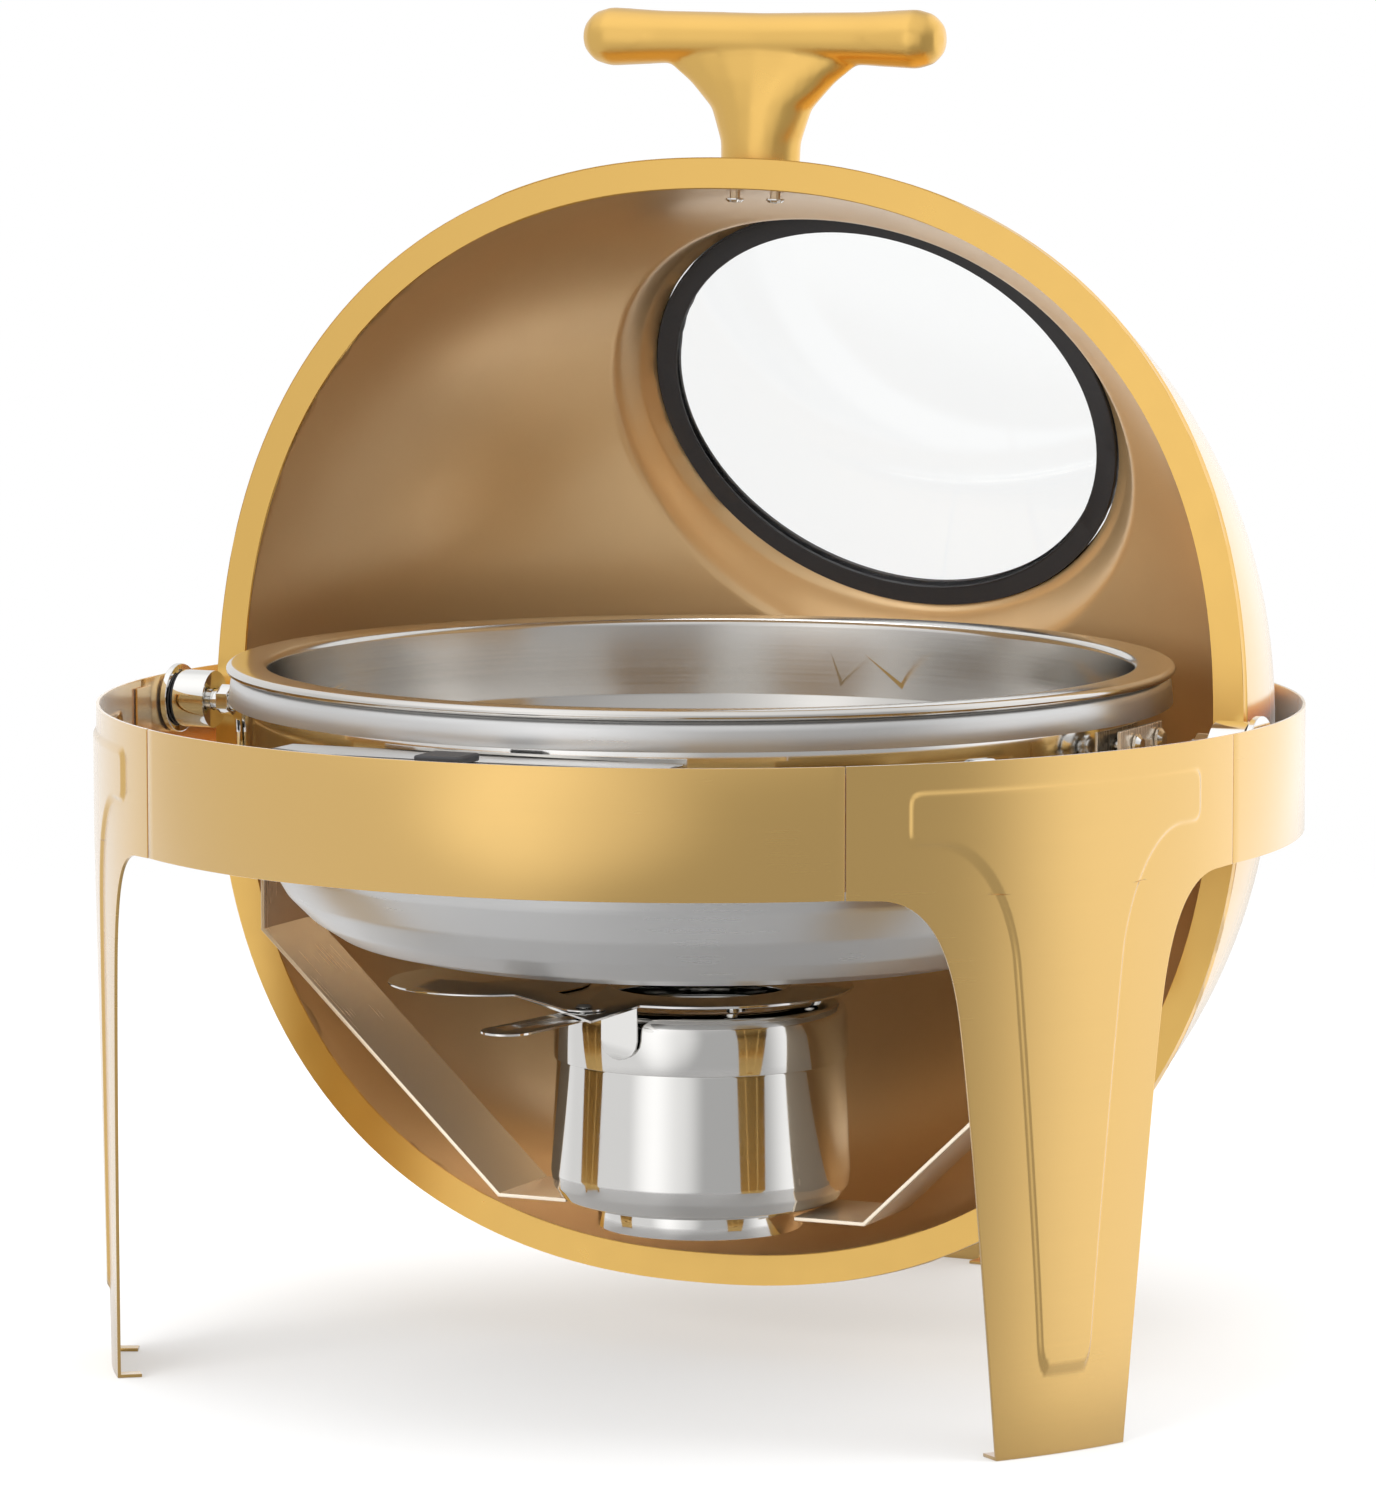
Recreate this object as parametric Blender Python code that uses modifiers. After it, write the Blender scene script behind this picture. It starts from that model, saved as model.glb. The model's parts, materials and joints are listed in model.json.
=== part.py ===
"""Round roll top chafer: a three-legged ring stand, a water pan and a food pan, a sliding fuel
holder with a swinging damper, and a domed lid that rolls back round two side pivots.

Metres, +Z up. The origin is on the ground under the centre of the ring, and -Y is the front.
The lid stands open, as it rests on a buffet."""

import math

import bmesh
import bpy
from mathutils import Matrix, Vector

# Driving dimensions ---------------------------------------------------------------------------
AXIS_Z = 0.2429            # height of the lid's pivot axis
GAP = 0.0003               # clearance between touching pieces
SHEET = 0.0012             # stand sheet thickness

RING_R = 0.2293            # outer radius of the band
BAND_TOP = AXIS_Z + 0.0100
BAND_BOTTOM = AXIS_Z - 0.0376
FOOT_R = 0.2256            # outer radius of the legs at the ground
LEG_ANGLES = {"left_leg": -60.0, "right_leg": 60.0, "rear_leg": 180.0}
LEG_SPAN = 45.0            # degrees of the ring that belong to one leg
BAND_ANGLES = {"front_band": 0.0, "right_rear_band": 120.0, "left_rear_band": -120.0}
BAND_SPAN = 75.0
BEND_STEP = 5.0            # degrees between the facets of bent sheet
EMBOSS_RISE = 0.0012
FOOT_HALF = 0.0295         # half the width of a leg at the ground
TAB_HALF = 0.0030          # half the width of a bent-in foot tab
TAB_LENGTH = 0.0092
STRAP_T = 0.0008
STRAP_HALF = 0.0075

LID_OPEN = 93.4            # degrees between closed and open
LID_RIM_Z = 0.0117         # rim plane above the axis when the lid is closed
LID_RIM_R = 0.2150
LID_OUTER_R = 0.2100
LID_INNER_R = 0.2038
LID_SKIN = 0.0010
LID_FULLNESS = 2.2         # superellipse power of the dome's side view
PLAN_FULLNESS = 2.28       # superellipse power of the rim's outline; the dome above it is rounder
LID_SEGMENTS = 40

WINDOW_TILT = 36.7         # degrees from straight up towards the front, lid closed
WINDOW_OUT = 0.2000        # distance of the glass from the middle of the rim
WINDOW_R = 0.0890          # clear glass radius
GASKET_R = 0.0974
WINDOW_HOLE_R = 0.0987     # hole in both skins
FLARE_R = 0.1115           # where the raised window seat runs out into the dome

FOOD_R = 0.1795
FOOD_TOP = AXIS_Z + 0.0238
FOOD_DEPTH = 0.0620
WATER_R = 0.1770
WATER_BOTTOM = AXIS_Z - 0.0840
HOOP_R = 0.1746
PAN_SEGMENTS = 40

LEDGE_Z = AXIS_Z - 0.1840  # middle of the ledges that carry the fuel holder
PLATE_Z = AXIS_Z - 0.1005  # middle of the flame plate
PLATE_T = 0.0010
PLATE_R = 0.0585
FLAME_HOLE_R = 0.0345
DAMPER_R = 0.0390
RIVET = Vector((-0.0120, -0.0782, PLATE_Z))
DAMPER_REACH = 0.0793      # rivet to the middle of the damper disc
DAMPER_OPEN = 142.7        # direction of the open disc from the rivet, degrees from +X
LEVER_DIRECTION = -98.8
LEVER_LENGTH = 0.0600

# Scene and materials --------------------------------------------------------------------------
for old in list(bpy.data.objects):
    bpy.data.objects.remove(old, do_unlink=True)

parts = bpy.data.collections.new("roll_top_chafer")
cutters = bpy.data.collections.new("cutters")
bpy.context.scene.collection.children.link(parts)
bpy.context.scene.collection.children.link(cutters)


def finish(name, color, roughness, metallic):
    """A Principled material for one sort of surface."""
    made = bpy.data.materials.new(name)
    made.use_nodes = True
    shader = made.node_tree.nodes["Principled BSDF"]
    shader.inputs["Base Color"].default_value = (*color, 1.0)
    shader.inputs["Roughness"].default_value = roughness
    shader.inputs["Metallic"].default_value = metallic
    return made


gold = finish("gold_plated_steel", (0.80, 0.52, 0.20), 0.28, 1.0)
chrome = finish("polished_steel", (0.72, 0.72, 0.72), 0.12, 1.0)
satin = finish("satin_steel", (0.62, 0.61, 0.60), 0.35, 1.0)
black = finish("black_rubber", (0.02, 0.02, 0.02), 0.60, 0.0)
clear = finish("tempered_glass", (0.90, 0.92, 0.92), 0.05, 0.0)


# Ways of making a piece -----------------------------------------------------------------------
def keep(name, mesh, material, smooth_angle=30.0, where=None):
    """Put a finished mesh in the part as one object."""
    piece = bpy.data.objects.new(name, mesh)
    (where or parts).objects.link(piece)
    mesh.name = name
    mesh.materials.clear()
    mesh.materials.append(material)
    mesh.shade_smooth()
    mesh.set_sharp_from_angle(angle=math.radians(smooth_angle))
    return piece


def bm_mesh(bm, name):
    """Turn a bmesh into a mesh datablock, outward faces first."""
    bmesh.ops.recalc_face_normals(bm, faces=bm.faces)
    if bm.calc_volume(signed=True) < 0:
        bmesh.ops.reverse_faces(bm, faces=bm.faces)
    mesh = bpy.data.meshes.new(name)
    bm.to_mesh(mesh)
    bm.free()
    return mesh


def turned_mesh(name, profile, segments):
    """A radial profile of (radius, height) points, closed or ending on the axis, turned about Z."""
    bm = bmesh.new()
    ring = [bm.verts.new((radius, 0.0, height)) for radius, height in profile]
    edges = [bm.edges.new((ring[i - 1], ring[i])) for i in range(len(ring))
             if profile[i - 1][0] > 0 or profile[i][0] > 0]
    bmesh.ops.spin(bm, geom=ring + edges, axis=(0, 0, 1), cent=(0, 0, 0),
                   angle=math.tau, steps=segments, use_merge=True)
    bmesh.ops.remove_doubles(bm, verts=bm.verts, dist=1e-6)
    return bm_mesh(bm, name)


def turned(name, profile, material, segments):
    """Turn a profile and keep it as one piece."""
    return keep(name, turned_mesh(name, profile, segments), material)


def flat_mesh(name, outlines, thickness):
    """A flat plate in XY, centred on Z: the first outline is its edge, the others are holes."""
    curve = bpy.data.curves.new(name, "CURVE")
    curve.dimensions = "2D"
    curve.fill_mode = "BOTH"
    curve.extrude = thickness / 2
    for outline in outlines:
        spline = curve.splines.new("POLY")
        spline.points.add(len(outline) - 1)
        for point, (x, y) in zip(spline.points, outline):
            point.co = (x, y, 0.0, 1.0)
        spline.use_cyclic_u = True
    holder = bpy.data.objects.new(name, curve)
    cutters.objects.link(holder)
    evaluated = holder.evaluated_get(bpy.context.evaluated_depsgraph_get())
    mesh = bpy.data.meshes.new_from_object(evaluated)
    bpy.data.objects.remove(holder, do_unlink=True)
    bm = bmesh.new()
    bm.from_mesh(mesh)
    bmesh.ops.remove_doubles(bm, verts=bm.verts, dist=1e-6)
    bmesh.ops.recalc_face_normals(bm, faces=bm.faces)
    bm.to_mesh(mesh)
    bm.free()
    return mesh


def moved(mesh, matrix):
    """Change a mesh's place and hand it back."""
    mesh.transform(matrix)
    return mesh


def box_mesh(name, low, high):
    """A box between two corners."""
    bm = bmesh.new()
    bmesh.ops.create_cube(bm, size=1.0)
    size = Vector(high) - Vector(low)
    middle = (Vector(high) + Vector(low)) / 2
    bm.transform(Matrix.Translation(middle) @ Matrix.Diagonal((*size, 1.0)))
    return bm_mesh(bm, name)


def rod_mesh(name, start, end, radius, sides=20, end_radius=None):
    """A closed cylinder or cone between two points."""
    start, end = Vector(start), Vector(end)
    along = end - start
    bm = bmesh.new()
    bmesh.ops.create_cone(bm, cap_ends=True, segments=sides, radius1=radius,
                          radius2=radius if end_radius is None else end_radius, depth=along.length)
    turn = along.to_track_quat("Z", "Y").to_matrix().to_4x4()
    bm.transform(Matrix.Translation((start + end) / 2) @ turn)
    return bm_mesh(bm, name)


def boolean(piece, mesh, operation):
    """Cut a mesh from a piece, or join it to the piece, and keep the result."""
    tool = keep(piece.name + "_tool", mesh, piece.data.materials[0], where=cutters)
    tool.hide_render = True
    tool.display_type = "WIRE"
    tool.matrix_world = piece.matrix_world
    change = piece.modifiers.new(operation.lower(), "BOOLEAN")
    change.operation = operation
    change.solver = "EXACT"
    change.object = tool
    evaluated = piece.evaluated_get(bpy.context.evaluated_depsgraph_get())
    result = bpy.data.meshes.new_from_object(evaluated)
    piece.modifiers.clear()
    piece.data = result
    bm = bmesh.new()
    bm.from_mesh(result)
    bmesh.ops.remove_doubles(bm, verts=bm.verts, dist=1e-6)
    bmesh.ops.dissolve_degenerate(bm, edges=bm.edges, dist=1e-7)
    bm.to_mesh(result)
    bm.free()
    result.set_sharp_from_angle(angle=math.radians(30.0))
    return piece


def bezier(start, pull_start, pull_end, end, steps):
    """Points along a cubic curve, without its last point."""
    points = []
    for step in range(steps):
        t = step / steps
        a, b, c, d = (1 - t) ** 3, 3 * t * (1 - t) ** 2, 3 * t * t * (1 - t), t ** 3
        points.append(tuple(a * p + b * q + c * r + d * s
                            for p, q, r, s in zip(start, pull_start, pull_end, end)))
    return points


def circle(radius, count, x=0.0, y=0.0, first=0.0, last=math.tau):
    """Points on an arc, in XY."""
    full = abs(last - first - math.tau) < 1e-9
    step = (last - first) / (count if full else count - 1)
    return [(x + radius * math.cos(first + i * step), y + radius * math.sin(first + i * step))
            for i in range(count)]


def polar(angle, radius, z):
    """A point on the ring: angle in degrees from the front towards the right."""
    a = math.radians(angle)
    return Vector((radius * math.sin(a), -radius * math.cos(a), z))


# Stand: band and legs -------------------------------------------------------------------------
def sheet_radius(z):
    """Outer radius of the stand's sheet at a height: upright in the band, leaning in below."""
    if z >= BAND_BOTTOM:
        return RING_R
    return FOOT_R + (RING_R - FOOT_R) * z / BAND_BOTTOM


def bend_round_ring(mesh, centre_angle, thickness):
    """Bend a flat plate (X along the ring, Y up, Z outward) round the stand's axis."""
    bm = bmesh.new()
    bm.from_mesh(mesh)
    bmesh.ops.triangulate(bm, faces=bm.faces)
    step = math.radians(BEND_STEP) * RING_R
    reach = max(abs(v.co.x) for v in bm.verts)
    count = int(reach / step) + 1
    cuts = [((i + 0.5) * step, (1, 0, 0), 0) for i in range(-count, count)]
    cuts.append((BAND_BOTTOM, (0, 1, 0), 1))
    for place, normal, index in cuts:
        at = [0.0, 0.0, 0.0]
        at[index] = place
        bmesh.ops.bisect_plane(bm, geom=bm.verts[:] + bm.edges[:] + bm.faces[:],
                               plane_co=at, plane_no=normal, dist=1e-6)
    for vert in bm.verts:
        along, height, out = vert.co
        radius = sheet_radius(height) - thickness / 2 + out
        vert.co = polar(centre_angle + math.degrees(along / RING_R), radius, height)
    bm.to_mesh(mesh)
    bm.free()
    return mesh


def mirrored(right_side):
    """A closed outline from its right side, listed from the top down."""
    return [(-x, y) for x, y in reversed(right_side)] + list(right_side)


def band_section(name, centre_angle):
    """One plain section of the ring band."""
    half = math.radians(BAND_SPAN / 2) * RING_R - GAP / 2
    outline = [(-half, BAND_BOTTOM), (half, BAND_BOTTOM), (half, BAND_TOP), (-half, BAND_TOP)]
    keep(name, bend_round_ring(flat_mesh(name, [outline], SHEET), centre_angle, SHEET), gold)


def leg_outline():
    """Outline of a leg sheet: band end, a sweep into the leg, and a slow taper to the foot."""
    half = math.radians(LEG_SPAN / 2) * RING_R - GAP / 2
    side = [(half, BAND_TOP), (half, BAND_BOTTOM)]
    side += bezier((0.0785, BAND_BOTTOM - 0.0005), (0.060, BAND_BOTTOM - 0.0005),
                   (0.050, AXIS_Z - 0.055), (0.046, AXIS_Z - 0.085), 6)
    side += bezier((0.046, AXIS_Z - 0.085), (0.042, AXIS_Z - 0.112), (0.0345, AXIS_Z - 0.190),
                   (FOOT_HALF, GAP), 4)
    side.append((FOOT_HALF, GAP))
    return mirrored(side)


def emboss_outline():
    """Outline of the raised T panel on a leg."""
    side = [(0.063, AXIS_Z + 0.0006), (0.067, AXIS_Z - 0.0035), (0.067, AXIS_Z - 0.0160),
            (0.064, AXIS_Z - 0.0195)]
    side += bezier((0.056, AXIS_Z - 0.0198), (0.040, AXIS_Z - 0.0198), (0.028, AXIS_Z - 0.040),
                   (0.025, AXIS_Z - 0.062), 5)
    side += bezier((0.025, AXIS_Z - 0.062), (0.022, AXIS_Z - 0.090), (0.015, AXIS_Z - 0.165),
                   (0.0125, AXIS_Z - 0.203), 3)
    side += [(0.0125, AXIS_Z - 0.203), (0.0080, AXIS_Z - 0.213)]
    return mirrored(side)


def leg(name, centre_angle):
    """A leg sheet with its raised panel and two bent-in foot tabs."""
    plate = keep(name, flat_mesh(name, [leg_outline()], SHEET), gold)
    panel = flat_mesh(name + "_panel", [emboss_outline()], SHEET + EMBOSS_RISE)
    boolean(plate, moved(panel, Matrix.Translation((0, 0, EMBOSS_RISE / 2 + 0.00005))), "UNION")
    bend_round_ring(plate.data, centre_angle, SHEET)
    for side in (-1, 1):
        tab = box_mesh(name + "_tab", (-TAB_HALF, 0.0, 0.0), (TAB_HALF, TAB_LENGTH, SHEET))
        tilt = centre_angle + side * math.degrees((FOOT_HALF - TAB_HALF - 0.0001) / RING_R)
        place = Matrix.Translation(polar(tilt, FOOT_R - SHEET * 0.6, 0.0))
        boolean(plate, moved(tab, place @ Matrix.Rotation(math.radians(tilt), 4, "Z")), "UNION")


def seam_straps():
    """Six welded straps behind the joints between band and legs."""
    for owner, centre_angle in LEG_ANGLES.items():
        for side, word in ((-1, "near"), (1, "far")):
            outline = [(-STRAP_HALF, BAND_BOTTOM + 0.003), (STRAP_HALF, BAND_BOTTOM + 0.003),
                       (STRAP_HALF, BAND_TOP - 0.003), (-STRAP_HALF, BAND_TOP - 0.003)]
            mesh = flat_mesh("strap", [outline], STRAP_T)
            mesh.transform(Matrix.Translation((0, 0, -SHEET - GAP)))
            bend_round_ring(mesh, centre_angle + side * LEG_SPAN / 2, STRAP_T)
            keep(f"{owner}_seam_strap_{word}", mesh, gold)


for section, centre in BAND_ANGLES.items():
    band_section(section, centre)
for section, centre in LEG_ANGLES.items():
    leg(section, centre)
seam_straps()


# Stand: pivots --------------------------------------------------------------------------------
FLANGE_OUT = 0.2270
FLANGE_IN = 0.2245
WASHER_IN = 0.2232
BARREL_OUT = 0.2229
BARREL_IN = 0.2070
PIN_R = 0.0040
NUT_IN = 0.2017
PIN_END = 0.2000
BARREL_R = 0.0112


def pivot(name, side):
    """Weld flange with the pin on which the lid turns."""
    flange = keep(name, rod_mesh(name, (side * FLANGE_OUT, 0, AXIS_Z), (side * FLANGE_IN, 0, AXIS_Z),
                                 0.0135, 32), chrome)
    pin = rod_mesh(name, (side * (FLANGE_IN + 0.001), 0, AXIS_Z), (side * PIN_END, 0, AXIS_Z), PIN_R)
    boolean(flange, pin, "UNION")


def ring_mesh(name, side, x_outer, x_inner, radius, hole, sides=32):
    """A washer on the pivot axis."""
    width = x_outer - x_inner
    mesh = flat_mesh(name, [circle(radius, sides), circle(hole, 20)], width)
    turn = Matrix.Rotation(math.radians(90), 4, "Y")
    middle = side * (x_outer + x_inner) / 2
    return moved(mesh, Matrix.Translation((middle, 0, AXIS_Z)) @ turn)


SIDES = (("left", -1), ("right", 1))
for word, way in SIDES:
    pivot(f"{word}_pivot_pin", way)
    keep(f"{word}_pivot_washer",
         ring_mesh("washer", way, FLANGE_IN - GAP, WASHER_IN, 0.0105, PIN_R + GAP), black)
    keep(f"{word}_pin_nut",
         ring_mesh("nut", way, BARREL_IN - GAP, NUT_IN, 0.0062, PIN_R + GAP, 6), chrome)


# Stand: pan hoop, brackets, rest plate and fuel arms ------------------------------------------
HOOP_T = 0.0015
HOOP_TOP = AXIS_Z + 0.0190
HOOP_BOTTOM = AXIS_Z - 0.0200
ARM_X = 0.1786             # middle of the upright part of a fuel arm
ARM_T = 0.0015
ARM_BACK = 0.0220
ARM_FRONT = -0.0200
BOLT_YS = (-0.0054, 0.0171)
BOLT_Z = AXIS_Z + 0.0012
BOLT_R = 0.0022
BRACKET_T = 0.0015
BRACKET_HALF = 0.0075
SHELF_TOP = AXIS_Z - 0.0160
SHELF_UNDER = AXIS_Z - 0.0180
BEHIND_BAND = RING_R - SHEET - 0.0012
REST_HALF = 0.0780         # half the width of the front rest plate
REST_TOP = AXIS_Z + 0.0080
REST_INNER_Y = -0.1860


def pan_hoop():
    """Upright hoop that the water pan hangs on, drilled for the arm bolts."""
    profile = [(HOOP_R, HOOP_TOP), (HOOP_R, HOOP_BOTTOM), (HOOP_R - HOOP_T, HOOP_BOTTOM),
               (HOOP_R - HOOP_T, HOOP_TOP)]
    hoop = turned("pan_hoop", profile, chrome, 56)
    for side in (-1, 1):
        for y in BOLT_YS:
            boolean(hoop, rod_mesh("hole", (side * 0.165, y, BOLT_Z), (side * 0.180, y, BOLT_Z),
                                   BOLT_R + GAP, 12), "DIFFERENCE")


def arm_line(offset):
    """One face of a fuel arm in XZ, offset from its middle: upright, slope, ledge."""
    points = [(ARM_X, AXIS_Z + 0.0075), (ARM_X, AXIS_Z - 0.0867), (0.0765, LEDGE_Z),
              (0.0479, LEDGE_Z)]
    normals = []
    for (x0, z0), (x1, z1) in zip(points, points[1:]):
        length = math.hypot(x1 - x0, z1 - z0)
        normals.append(((z1 - z0) / length, -(x1 - x0) / length))
    line = []
    for i, (x, z) in enumerate(points):
        before = normals[max(i - 1, 0)]
        after = normals[min(i, len(normals) - 1)]
        dot = 1 + before[0] * after[0] + before[1] * after[1]
        line.append((x + offset * (before[0] + after[0]) / dot,
                     z + offset * (before[1] + after[1]) / dot))
    return line


def fuel_arm(name, side):
    """A bent strip from the hoop down to a ledge for the fuel holder."""
    outline = arm_line(ARM_T / 2) + list(reversed(arm_line(-ARM_T / 2)))
    mesh = flat_mesh(name, [outline], ARM_BACK - ARM_FRONT)
    stand_up = Matrix.Rotation(math.radians(90), 4, "X")
    mesh.transform(Matrix.Translation((0, (ARM_BACK + ARM_FRONT) / 2, 0)) @ stand_up)
    if side < 0:
        mesh.transform(Matrix.Scale(-1, 4, (1, 0, 0)))
        mesh.flip_normals()
    arm = keep(name, mesh, chrome)
    for y in BOLT_YS:
        boolean(arm, rod_mesh("hole", (side * 0.176, y, BOLT_Z), (side * 0.182, y, BOLT_Z),
                              BOLT_R + GAP, 12), "DIFFERENCE")


def arm_bolts():
    """Four domed bolts through the arms into the hoop."""
    face = ARM_X + ARM_T / 2 + GAP
    profile = [(0, 0.0030), (0.0026, 0.0026), (0.0042, 0.0012), (0.0042, 0),
               (BOLT_R, 0), (BOLT_R, -0.0090), (0, -0.0090)]
    for word, side in SIDES:
        for y, end in zip(BOLT_YS, ("front", "rear")):
            turn = Matrix.Rotation(math.radians(side * 90), 4, "Y")
            place = Matrix.Translation((side * face, y, BOLT_Z)) @ turn
            bolt = moved(turned_mesh("bolt", profile, 12), place)
            keep(f"{word}_{end}_arm_bolt", bolt, chrome)


def pan_bracket(name, angle):
    """Rounded upright plate on the hoop with a flat arm to the leg behind it."""
    half = BRACKET_HALF
    corner = 0.004
    top = AXIS_Z + 0.0035
    outline = [(half, SHELF_UNDER)]
    outline += circle(corner, 5, half - corner, top - corner, 0.0, math.pi / 2)
    outline += circle(corner, 5, -half + corner, top - corner, math.pi / 2, math.pi)
    outline += [(-half, SHELF_UNDER)]
    plate = flat_mesh(name, [outline], BRACKET_T)
    stand_up = Matrix.Rotation(math.radians(90), 4, "X")
    spin = Matrix.Rotation(math.radians(angle), 4, "Z")
    middle = -(HOOP_R + GAP + 0.0010)
    bracket = keep(name, moved(plate, spin @ Matrix.Translation((0, middle, 0)) @ stand_up), chrome)
    shelf = box_mesh(name, (-half, -BEHIND_BAND, SHELF_UNDER), (half, middle, SHELF_TOP))
    boolean(bracket, moved(shelf, spin), "UNION")
    end = box_mesh(name, (-half, -BEHIND_BAND, SHELF_UNDER - 0.0120),
                   (half, -BEHIND_BAND + BRACKET_T, SHELF_TOP - 0.0005))
    boolean(bracket, moved(end, spin), "UNION")


def front_rest_plate():
    """Shelf behind the front band, folded down along its inner edge."""
    edge = math.asin(REST_HALF / BEHIND_BAND)
    arc = circle(BEHIND_BAND, 9, 0, 0, -math.pi / 2 - edge, -math.pi / 2 + edge)
    outline = arc + [(REST_HALF, REST_INNER_Y), (-REST_HALF, REST_INNER_Y)]
    mesh = flat_mesh("front_rest_plate", [outline], BRACKET_T)
    place = Matrix.Translation((0, 0, REST_TOP - BRACKET_T / 2))
    plate = keep("front_rest_plate", moved(mesh, place), chrome)
    lip = box_mesh("lip", (-REST_HALF, REST_INNER_Y, REST_TOP - 0.0070),
                   (REST_HALF, REST_INNER_Y + BRACKET_T, REST_TOP))
    boolean(plate, lip, "UNION")


def rest_pad():
    """Rubber pad that the closed lid comes down on."""
    mesh = box_mesh("rest_pad", (-0.0090, -0.2240, REST_TOP + GAP),
                    (0.0090, -0.2070, REST_TOP + 0.0033))
    pad = keep("rest_pad", mesh, black)
    soften = pad.modifiers.new("rounded", "BEVEL")
    soften.width = 0.0008
    soften.segments = 2


pan_hoop()
fuel_arm("left_fuel_arm", -1)
fuel_arm("right_fuel_arm", 1)
arm_bolts()
pan_bracket("left_pan_bracket", -60.0)
pan_bracket("right_pan_bracket", 60.0)
front_rest_plate()
rest_pad()


# Pans -----------------------------------------------------------------------------------------
def water_pan():
    """Deep pan with a rolled rim and a short skirt that hangs over the hoop."""
    top = AXIS_Z + 0.0207
    inside = [(0.1755, AXIS_Z + 0.0097), (WATER_R, AXIS_Z + 0.0097),
              (WATER_R + 0.0009, AXIS_Z + 0.0185), (WATER_R - 0.0005, top), (0.1720, top),
              (0.1676, top - 0.0030), (0.1672, AXIS_Z - 0.0300), (0.1640, AXIS_Z - 0.0500),
              (0.1570, AXIS_Z - 0.0620), (0.1478, AXIS_Z - 0.0710), (0.1368, AXIS_Z - 0.0780),
              (0.1200, AXIS_Z - 0.0820), (0.1000, WATER_BOTTOM + 0.0010),
              (0.0, WATER_BOTTOM + 0.0010)]
    outside = [(0.0, WATER_BOTTOM), (0.1003, WATER_BOTTOM), (0.1204, AXIS_Z - 0.0830),
               (0.1374, AXIS_Z - 0.0789), (0.1486, AXIS_Z - 0.0718), (0.1578, AXIS_Z - 0.0627),
               (0.1650, AXIS_Z - 0.0504), (0.1682, AXIS_Z - 0.0300), (0.1684, top - 0.0032),
               (0.1722, top - 0.0011), (0.1757, top - 0.0011)]
    turned("water_pan", inside + outside, satin, PAN_SEGMENTS)


def food_pan():
    """Food pan with a flat brim and a rolled bead."""
    floor = FOOD_TOP - FOOD_DEPTH
    inside = [(0.1772, FOOD_TOP - 0.0020), (FOOD_R, FOOD_TOP - 0.0020),
              (FOOD_R + 0.0002, FOOD_TOP - 0.0008), (FOOD_R - 0.0008, FOOD_TOP),
              (0.1660, FOOD_TOP), (0.1643, FOOD_TOP - 0.0015), (0.1635, FOOD_TOP - 0.0300),
              (0.1595, FOOD_TOP - 0.0470), (0.1500, FOOD_TOP - 0.0570), (0.1350, floor + 0.0010),
              (0.0, floor + 0.0010)]
    outside = [(0.0, floor), (0.1353, floor), (0.1506, FOOD_TOP - 0.0579),
               (0.1604, FOOD_TOP - 0.0475), (0.1645, FOOD_TOP - 0.0300),
               (0.1653, FOOD_TOP - 0.0018), (0.1664, FOOD_TOP - 0.0010),
               (0.1770, FOOD_TOP - 0.0010)]
    turned("food_pan", inside + outside, satin, PAN_SEGMENTS)


water_pan()
food_pan()


# Lid: made closed, pole up and front to -Y, with the pivot axis at its origin ------------------
RIM_T = 0.0012
LUG_IN = LID_RIM_R + 0.0004
LUG_OUT = LUG_IN + 0.0020
HANDLE_Z = 0.0420          # height of the handle's bar above the axis, lid closed
HANDLE_OUT = 0.2620        # distance of the bar from the axis
BAR_LENGTH = 0.1500
BAR_R = 0.0112
SCREW_XS = (-0.0085, 0.0085)
SCREW_Z = 0.0380
SCREW_R = 0.0020
RIVET_ZS = (0.0285, 0.0395)
window_axis = Vector((0, -math.sin(math.radians(WINDOW_TILT)), math.cos(math.radians(WINDOW_TILT))))
rim_middle = Vector((0, 0, LID_RIM_Z))
window_place = Matrix.Translation(rim_middle) @ Matrix.Rotation(math.radians(WINDOW_TILT), 4, "X")

lid_axis = bpy.data.objects.new("lid_axis", None)
lid_axis.location = (0, 0, AXIS_Z)
lid_axis.rotation_euler = (-math.radians(LID_OPEN), 0, 0)
parts.objects.link(lid_axis)


def on_lid(piece):
    """Hang a piece, made in the closed lid's own frame, on the pivot axis."""
    piece.parent = lid_axis
    return piece


def plan_level(x, y, rise):
    """Length of (x, y) measured on the lid's outline, which rounds off as the dome rises."""
    power = 2 + (PLAN_FULLNESS - 2) * (1 - rise) ** 2
    return (abs(x) ** power + abs(y) ** power) ** (1 / power)


def dome_radius(direction, radius):
    """Distance from the middle of the rim to the dome along a unit direction."""
    rise = min(max(direction.z, 0.0), 1.0)
    level = plan_level(direction.x, direction.y, rise)
    return radius / (level ** LID_FULLNESS + rise ** LID_FULLNESS) ** (1 / LID_FULLNESS)


def flare(point, hole_height):
    """Lift the dome towards the flat seat round the window."""
    from_middle = point - rim_middle
    height = from_middle.dot(window_axis)
    if height <= 0:
        return point
    reach = (from_middle - window_axis * height).length
    t = min(max((FLARE_R - reach) / (FLARE_R - WINDOW_HOLE_R), 0.0), 1.0)
    weight = t * t * (3 - 2 * t)
    return point + window_axis * weight * (hole_height - height)


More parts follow.
